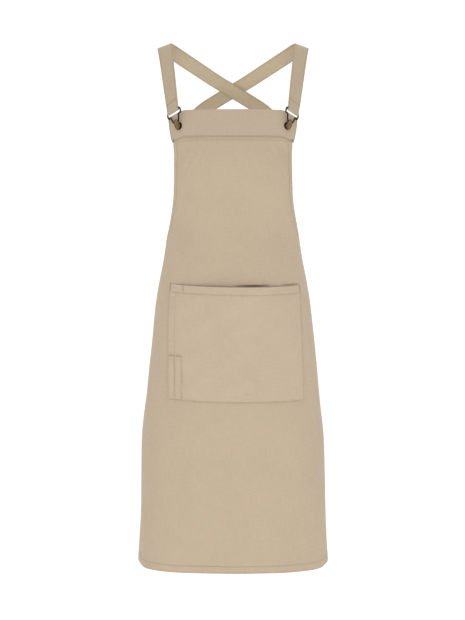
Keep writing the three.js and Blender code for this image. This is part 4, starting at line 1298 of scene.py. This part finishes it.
wire_brass = aged_metal("wire_brass", (40, 28, 18), (72, 54, 36), 0.46)
cap_brass = aged_metal("cap_brass", (112, 92, 64), (160, 138, 102), 0.42)
for side, word in ((-1, "left"), (1, "right")):
    half = [(row["across"] * bar_half, row["up"] * hook_height) for row in wire_rows]
    loop = half + [(-across, height) for across, height in half[-2:0:-1]]
    knots = [on_hook(side, across, height, 0.0) for across, height in loop]
    wire_curve = bpy.data.curves.new("hook_wire_frame_" + word, "CURVE")
    wire_curve.dimensions = "3D"
    wire_curve.bevel_depth = wire_radius
    wire_curve.bevel_resolution = 4
    path = smooth_run(knots, 5, closed=True)
    spline = wire_curve.splines.new("POLY")
    spline.points.add(len(path) - 1)
    spline.points.foreach_set("co", np.concatenate([path, np.ones((len(path), 1))], axis=1).ravel())
    spline.use_cyclic_u = True
    wire = bpy.data.objects.new("hook_wire_frame_" + word, wire_curve)
    bpy.context.collection.objects.link(wire)
    bpy.ops.object.select_all(action="DESELECT")
    wire.select_set(True)
    bpy.context.view_layer.objects.active = wire
    bpy.ops.object.convert(target="MESH")
    wire = bpy.context.object
    bpy.ops.object.shade_smooth()
    wire.data.materials.clear()
    wire.data.materials.append(wire_brass)
    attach(wire, "root")
    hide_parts("hook_wire_" + word)

    _, _, up, out, outer = hook_frame(side)
    centre = on_hook(side, 0.0, 0.0, 0.0)
    to_hook = Matrix.Translation(centre) @ Matrix((outer * side, up, out)).transposed().to_4x4()
    bpy.ops.object.select_all(action="DESELECT")
    bpy.ops.mesh.primitive_cylinder_add(vertices=56, radius=0.5, depth=1.0, location=(0, 0, 0))
    cap = bpy.context.object
    cap.scale = (cap_width, cap_height, cap_thickness)
    settle(cap, Matrix.Identity(4))
    for vertex in cap.data.vertices:
        vertex.co.x *= 1 - cap_narrowing * max(vertex.co.y / (cap_height / 2), 0.0)
    edges = cap.modifiers.new("pressed_edge", "BEVEL")
    edges.width = cap_edge
    edges.segments = 4
    edges.limit_method = "ANGLE"
    edges.angle_limit = math.radians(60)
    bpy.ops.object.modifier_apply(modifier=edges.name)
    bpy.ops.object.mode_set(mode="EDIT")
    bpy.ops.mesh.select_all(action="DESELECT")
    bpy.ops.mesh.select_mode(type="FACE")
    bpy.ops.object.mode_set(mode="OBJECT")
    for face in cap.data.polygons:
        face.select = face.normal.z > 0.999 and face.center.z > 0
    bpy.ops.object.mode_set(mode="EDIT")
    bpy.ops.mesh.inset(thickness=cap_rim, depth=-cap_rim_depth)
    bpy.ops.mesh.inset(thickness=cap_field_inset, depth=0.0)
    bpy.ops.object.mode_set(mode="OBJECT")
    settle(cap, Matrix.Translation((0, cap_rise, 0)))
    prong_parts = [cap]
    for row in prong_rows:
        bpy.ops.object.select_all(action="DESELECT")
        bpy.ops.mesh.primitive_cube_add(size=1, location=row["place"])
        bar = bpy.context.object
        bar.scale = row["size"]
        settle(bar, Matrix.Identity(4))
        soft = bar.modifiers.new("edge", "BEVEL")
        soft.width = prong_edge
        soft.segments = 2
        bpy.ops.object.modifier_apply(modifier=soft.name)
        prong_parts.append(bar)
    for part in prong_parts:
        part.select_set(True)
    bpy.context.view_layer.objects.active = cap
    bpy.ops.object.join()
    cap.name = cap.data.name = "hook_cap_oval_" + word
    settle(cap, to_hook)
    bpy.ops.object.shade_smooth_by_angle(angle=math.radians(35))
    cap.data.materials.append(cap_brass)
    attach(cap, "root")
    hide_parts("hook_cap_" + word)

# Straps: strips of canvas folded double, pressed flat and sewn along both edges. In front each passes round
# its hook's bar and is sewn to itself; behind, they cross between the shoulder blades and end at the corners
# of the panel's waist, sewn flat inside it.
strap_thickness = 0.0016
shoulder_half = 0.1308
cross_back = 0.062
cross_drop = 0.0796
turned_stations = 2
turned_aside = 0.001
strap_sewn = 0.036
corner_inset = 0.020
strap_hollow = 0.0027
hem_ease = 0.0004
# Places as shares of the straight line from the bar to the top of the shoulder, how far the strap bulges
# off that line, and the way that its face looks.
front_strap_rows = [
    {"along": 0.06, "bulge": 0.006, "outer": 0.66, "forwards": 0.7, "up": 0.27},
    {"along": 0.15, "bulge": 0.02, "outer": 0.63, "forwards": 0.72, "up": 0.29},
    {"along": 0.38, "bulge": 0.06, "outer": 0.55, "forwards": 0.76, "up": 0.34},
    {"along": 0.62, "bulge": 0.085, "outer": 0.49, "forwards": 0.75, "up": 0.45},
    {"along": 0.81, "bulge": 0.08, "outer": 0.42, "forwards": 0.6, "up": 0.68},
    {"along": 0.93, "bulge": 0.045, "outer": 0.34, "forwards": 0.25, "up": 0.9},
]
# Places as shares of shoulder_half, cross_back and cross_drop, from the top of the shoulder to the other
# shoulder blade, the way that the face looks, and how far the strap is lifted off the one that it crosses.
back_strap_rows = [
    {"inwards": 1, "back": 0, "drop": 0, "outer": 0.33, "rear": 0, "up": 0.94, "apart": 0},
    {"inwards": 0.981, "back": 0.129, "drop": 0.008, "outer": 0.24, "rear": 0.25, "up": 0.93, "apart": 0},
    {"inwards": 0.944, "back": 0.242, "drop": 0.045, "outer": 0.1, "rear": 0.66, "up": 0.74, "apart": 0},
    {"inwards": 0.888, "back": 0.327, "drop": 0.113, "outer": 0.02, "rear": 0.85, "up": 0.52, "apart": 0.1},
    {"inwards": 0.767, "back": 0.427, "drop": 0.241, "outer": 0, "rear": 0.88, "up": 0.475, "apart": 0.3},
    {"inwards": 0.609, "back": 0.535, "drop": 0.405, "outer": 0, "rear": 0.875, "up": 0.485, "apart": 0.6},
    {"inwards": 0.451, "back": 0.65, "drop": 0.565, "outer": 0, "rear": 0.86, "up": 0.51, "apart": 0.9},
    {"inwards": 0.228, "back": 0.816, "drop": 0.791, "outer": 0, "rear": 0.825, "up": 0.565, "apart": 1},
    {"inwards": 0, "back": 1, "drop": 1, "outer": 0, "rear": 0.82, "up": 0.572, "apart": 1},
    {"inwards": -0.226, "back": 1.187, "drop": 1.211, "outer": 0, "rear": 0.82, "up": 0.572, "apart": 1},
    {"inwards": -0.424, "back": 1.344, "drop": 1.407, "outer": -0.03, "rear": 0.84, "up": 0.54, "apart": 0.9},
    {"inwards": -0.553, "back": 1.432, "drop": 1.589, "outer": -0.2, "rear": 0.89, "up": 0.4, "apart": 0.5},
    {"inwards": -0.682, "back": 1.476, "drop": 1.891, "outer": -0.43, "rear": 0.87, "up": 0.2, "apart": 0},
    {"inwards": -0.765, "back": 1.435, "drop": 2.462, "outer": -0.57, "rear": 0.82, "up": 0.05, "apart": 0},
]
lower_strap_rows = [{"along": 0.33, "bulge": 0.03}, {"along": 0.66, "bulge": 0.025}]


def strap_stations(side):
    """Points down the middle of a strap, and the way its face looks at each."""
    _, _, up, out, outer = hook_frame(side)
    layer_half = (strap_thickness + cloth_gap) / 2
    round_bar = wire_radius + cloth_gap + strap_thickness / 2

    def at_bar(height, lift, facing_up, facing_out):
        return on_hook(side, 0.0, hook_height + height, lift), up * facing_up + out * facing_out

    slant = round_bar * math.sqrt(0.5)
    loop = [
        at_bar(0.0, -round_bar, 0.0, -1.0),
        at_bar(-slant, -slant, -1.0, -1.0),
        at_bar(-round_bar, 0.0, -1.0, 0.0),
        at_bar(-slant, slant, -1.0, 1.0),
        at_bar(0.0, round_bar, 0.0, 1.0),
    ]
    start, start_looks = at_bar(2 * round_bar, layer_half, 0.0, 1.0)
    rise = Vector((side * shoulder_half, 0.0, strap_thickness / 2)) - start
    bulge_way = Vector((0.0, -rise.z, rise.y)).normalized()
    front = []
    for row in front_strap_rows:
        point = start + rise * row["along"] + bulge_way * row["bulge"] * rise.length
        front.append((point, Vector((side * row["outer"], -row["forwards"], row["up"])).normalized()))
    turned_end = [
        (point - looks * 2 * layer_half + outer * turned_aside * i / turned_stations, -looks)
        for i, (point, looks) in enumerate([(start, start_looks)] + front[:turned_stations])
    ]
    stations = turned_end[::-1] + loop + [(start, start_looks)] + front
    layer = side * (strap_thickness + cloth_gap) / 2
    for row in back_strap_rows:
        looks = Vector((side * row["outer"], row["rear"], row["up"])).normalized()
        point = Vector((
            side * row["inwards"] * shoulder_half,
            row["back"] * cross_back,
            strap_thickness / 2 - row["drop"] * cross_drop,
        ))
        stations.append((point + looks * layer * row["apart"], looks))
    blade, blade_looks = stations[-1]
    across = -side * (waist_half - corner_inset)
    seat = -(2 * cloth_thickness + cloth_gap + hem_ease) - cloth_gap - strap_hollow - strap_thickness / 2
    sewn = []
    for share in (-0.4, 0.0, 0.5, 1.0):
        down = waist_drop + share * strap_sewn
        point = Vector(on_cloth(across, down, seat).reshape(3))
        looks = Vector(cloth_facing(across, down, seat).reshape(3))
        sewn.append((point, Vector((looks.x, looks.y, 0.0)).normalized()))
    fall = sewn[0][0] - blade
    for row in lower_strap_rows:
        looks = blade_looks.lerp(sewn[0][1], row["along"]).normalized()
        stations.append((blade + fall * row["along"] + looks * row["bulge"] * fall.length, looks))
    return stations + sewn


strap_steps = 10
strap_columns = 30
strap_easing = 1.35
strap_edge_seam = 0.0022
strap_press = 0.0002
turned_seam = 0.0130
turned_slant = 0.25
turned_narrowing = 0.10
turned_row_gap = 0.0012
start_row = (turned_stations + 6) * strap_steps
box_margin = 0.002
strap_wave = 0.00012
strap_wave_length = 0.009
strap_wave_reach = 0.004
strap_closing = 0.0004
strap_closing_reach = 0.0005
strap_edge_shade = 1.5
# The lighter rear tone is painted light on the straps behind the shoulders.
strap_canvas = canvas_finish("strap_canvas", (190, 172, 147), rear_painted_light_tone=(204, 189, 160))
for side, word in ((-1, "left"), (1, "right")):
    stations = strap_stations(side)
    middle = smooth_run([point for point, _ in stations], strap_steps)
    looks = smooth_run([look for _, look in stations], strap_steps)
    heading = np.gradient(middle, axis=0)
    heading /= np.linalg.norm(heading, axis=1, keepdims=True)
    looks -= heading * (looks * heading).sum(axis=1, keepdims=True)
    looks /= np.linalg.norm(looks, axis=1, keepdims=True)
    aside = np.cross(heading, looks)
    along = distances(middle)

    def place_strap(column, row):
        """Places of the strap's face, pressed in along its edge seams and narrower at its turned end."""
        share = 2 * column / strap_columns - 1
        narrowed = 1 - turned_narrowing * smoothstep(start_row - 2 * strap_steps - row, 0, strap_steps)
        offset = np.sign(share) * (1 - (1 - np.abs(share)) ** strap_easing) * strap_width / 2 * narrowed
        from_side = strap_width / 2 * narrowed - np.abs(offset)
        lift = strap_thickness / 2 + pressed(from_side, strap_edge_seam, depth=strap_press)
        wave = np.sin(2 * math.pi * along[row] / strap_wave_length + 3)
        lift += strap_wave * wave * near(from_side, 0.0, strap_wave_reach)
        lift -= strap_closing * near(from_side, 0.0, strap_closing_reach)
        points = middle[row] + aside[row] * offset[:, None] + looks[row] * lift[:, None]
        # Painted shade along the folded edges and the edge seams.
        painted_fold_shade = strap_edge_shade * near(from_side, 0.0, rim_reach)
        seam = np.maximum(0.8 * near(from_side, strap_edge_seam), painted_fold_shade)
        return points, np.stack([offset, -along[row]], axis=1), seam

    strap_rows_down = len(middle) - 1
    strap_name = "cross_strap_" + word
    strap = lay_cloth(strap_name, strap_columns, strap_rows_down, place_strap, strap_thickness, flip=True)
    finish_cloth(strap, ["strap_" + word], strap_canvas)

    face = strap_thickness / 2 + thread_sunk
    edge_offset = strap_width / 2 - strap_edge_seam
    strap_rows = [
        (middle + aside * offset + looks * lift, looks * np.sign(lift))
        for offset in (-edge_offset, edge_offset)
        for lift in (-face - strap_press, face - strap_press)
    ]
    outer = np.sign(aside[start_row, 0]) * side
    offsets = np.linspace(-edge_offset, edge_offset, 12)
    turned_rows = []
    for gap in (0.0, turned_row_gap):
        seam_along = along[start_row] + turned_seam + gap - turned_slant * outer * offsets
        here, out_here, look = (read_run(seam_along, along, run) for run in (middle, aside, looks))
        for lift in (-face, face):
            turned_rows.append((here + out_here * offsets[:, None] + look * lift, look * np.sign(lift)))
    strap_thread = sew("strap_thread_" + word, strap_rows)
    turned_thread = sew("strap_turned_thread_" + word, turned_rows, finish=dark_thread)
    sewn_middle = side * (corner_inset - waist_half)
    sewn_foot = waist_drop + strap_sewn - box_margin
    sewn_downs = np.linspace(waist_drop + side_hem, sewn_foot, 14)
    sewn_box = [cloth_row(sewn_middle + offset, sewn_downs, 0.0) for offset in (-edge_offset, edge_offset)]
    for sewn_down in (waist_drop + side_hem + box_margin / 2, sewn_foot):
        sewn_box.append(cloth_row(sewn_middle + offsets, sewn_down, 0.0))
    box_thread = sew("strap_box_thread_" + word, sewn_box)

# The first stitch was only the pattern for the others.
bpy.data.objects.remove(first_stitch)
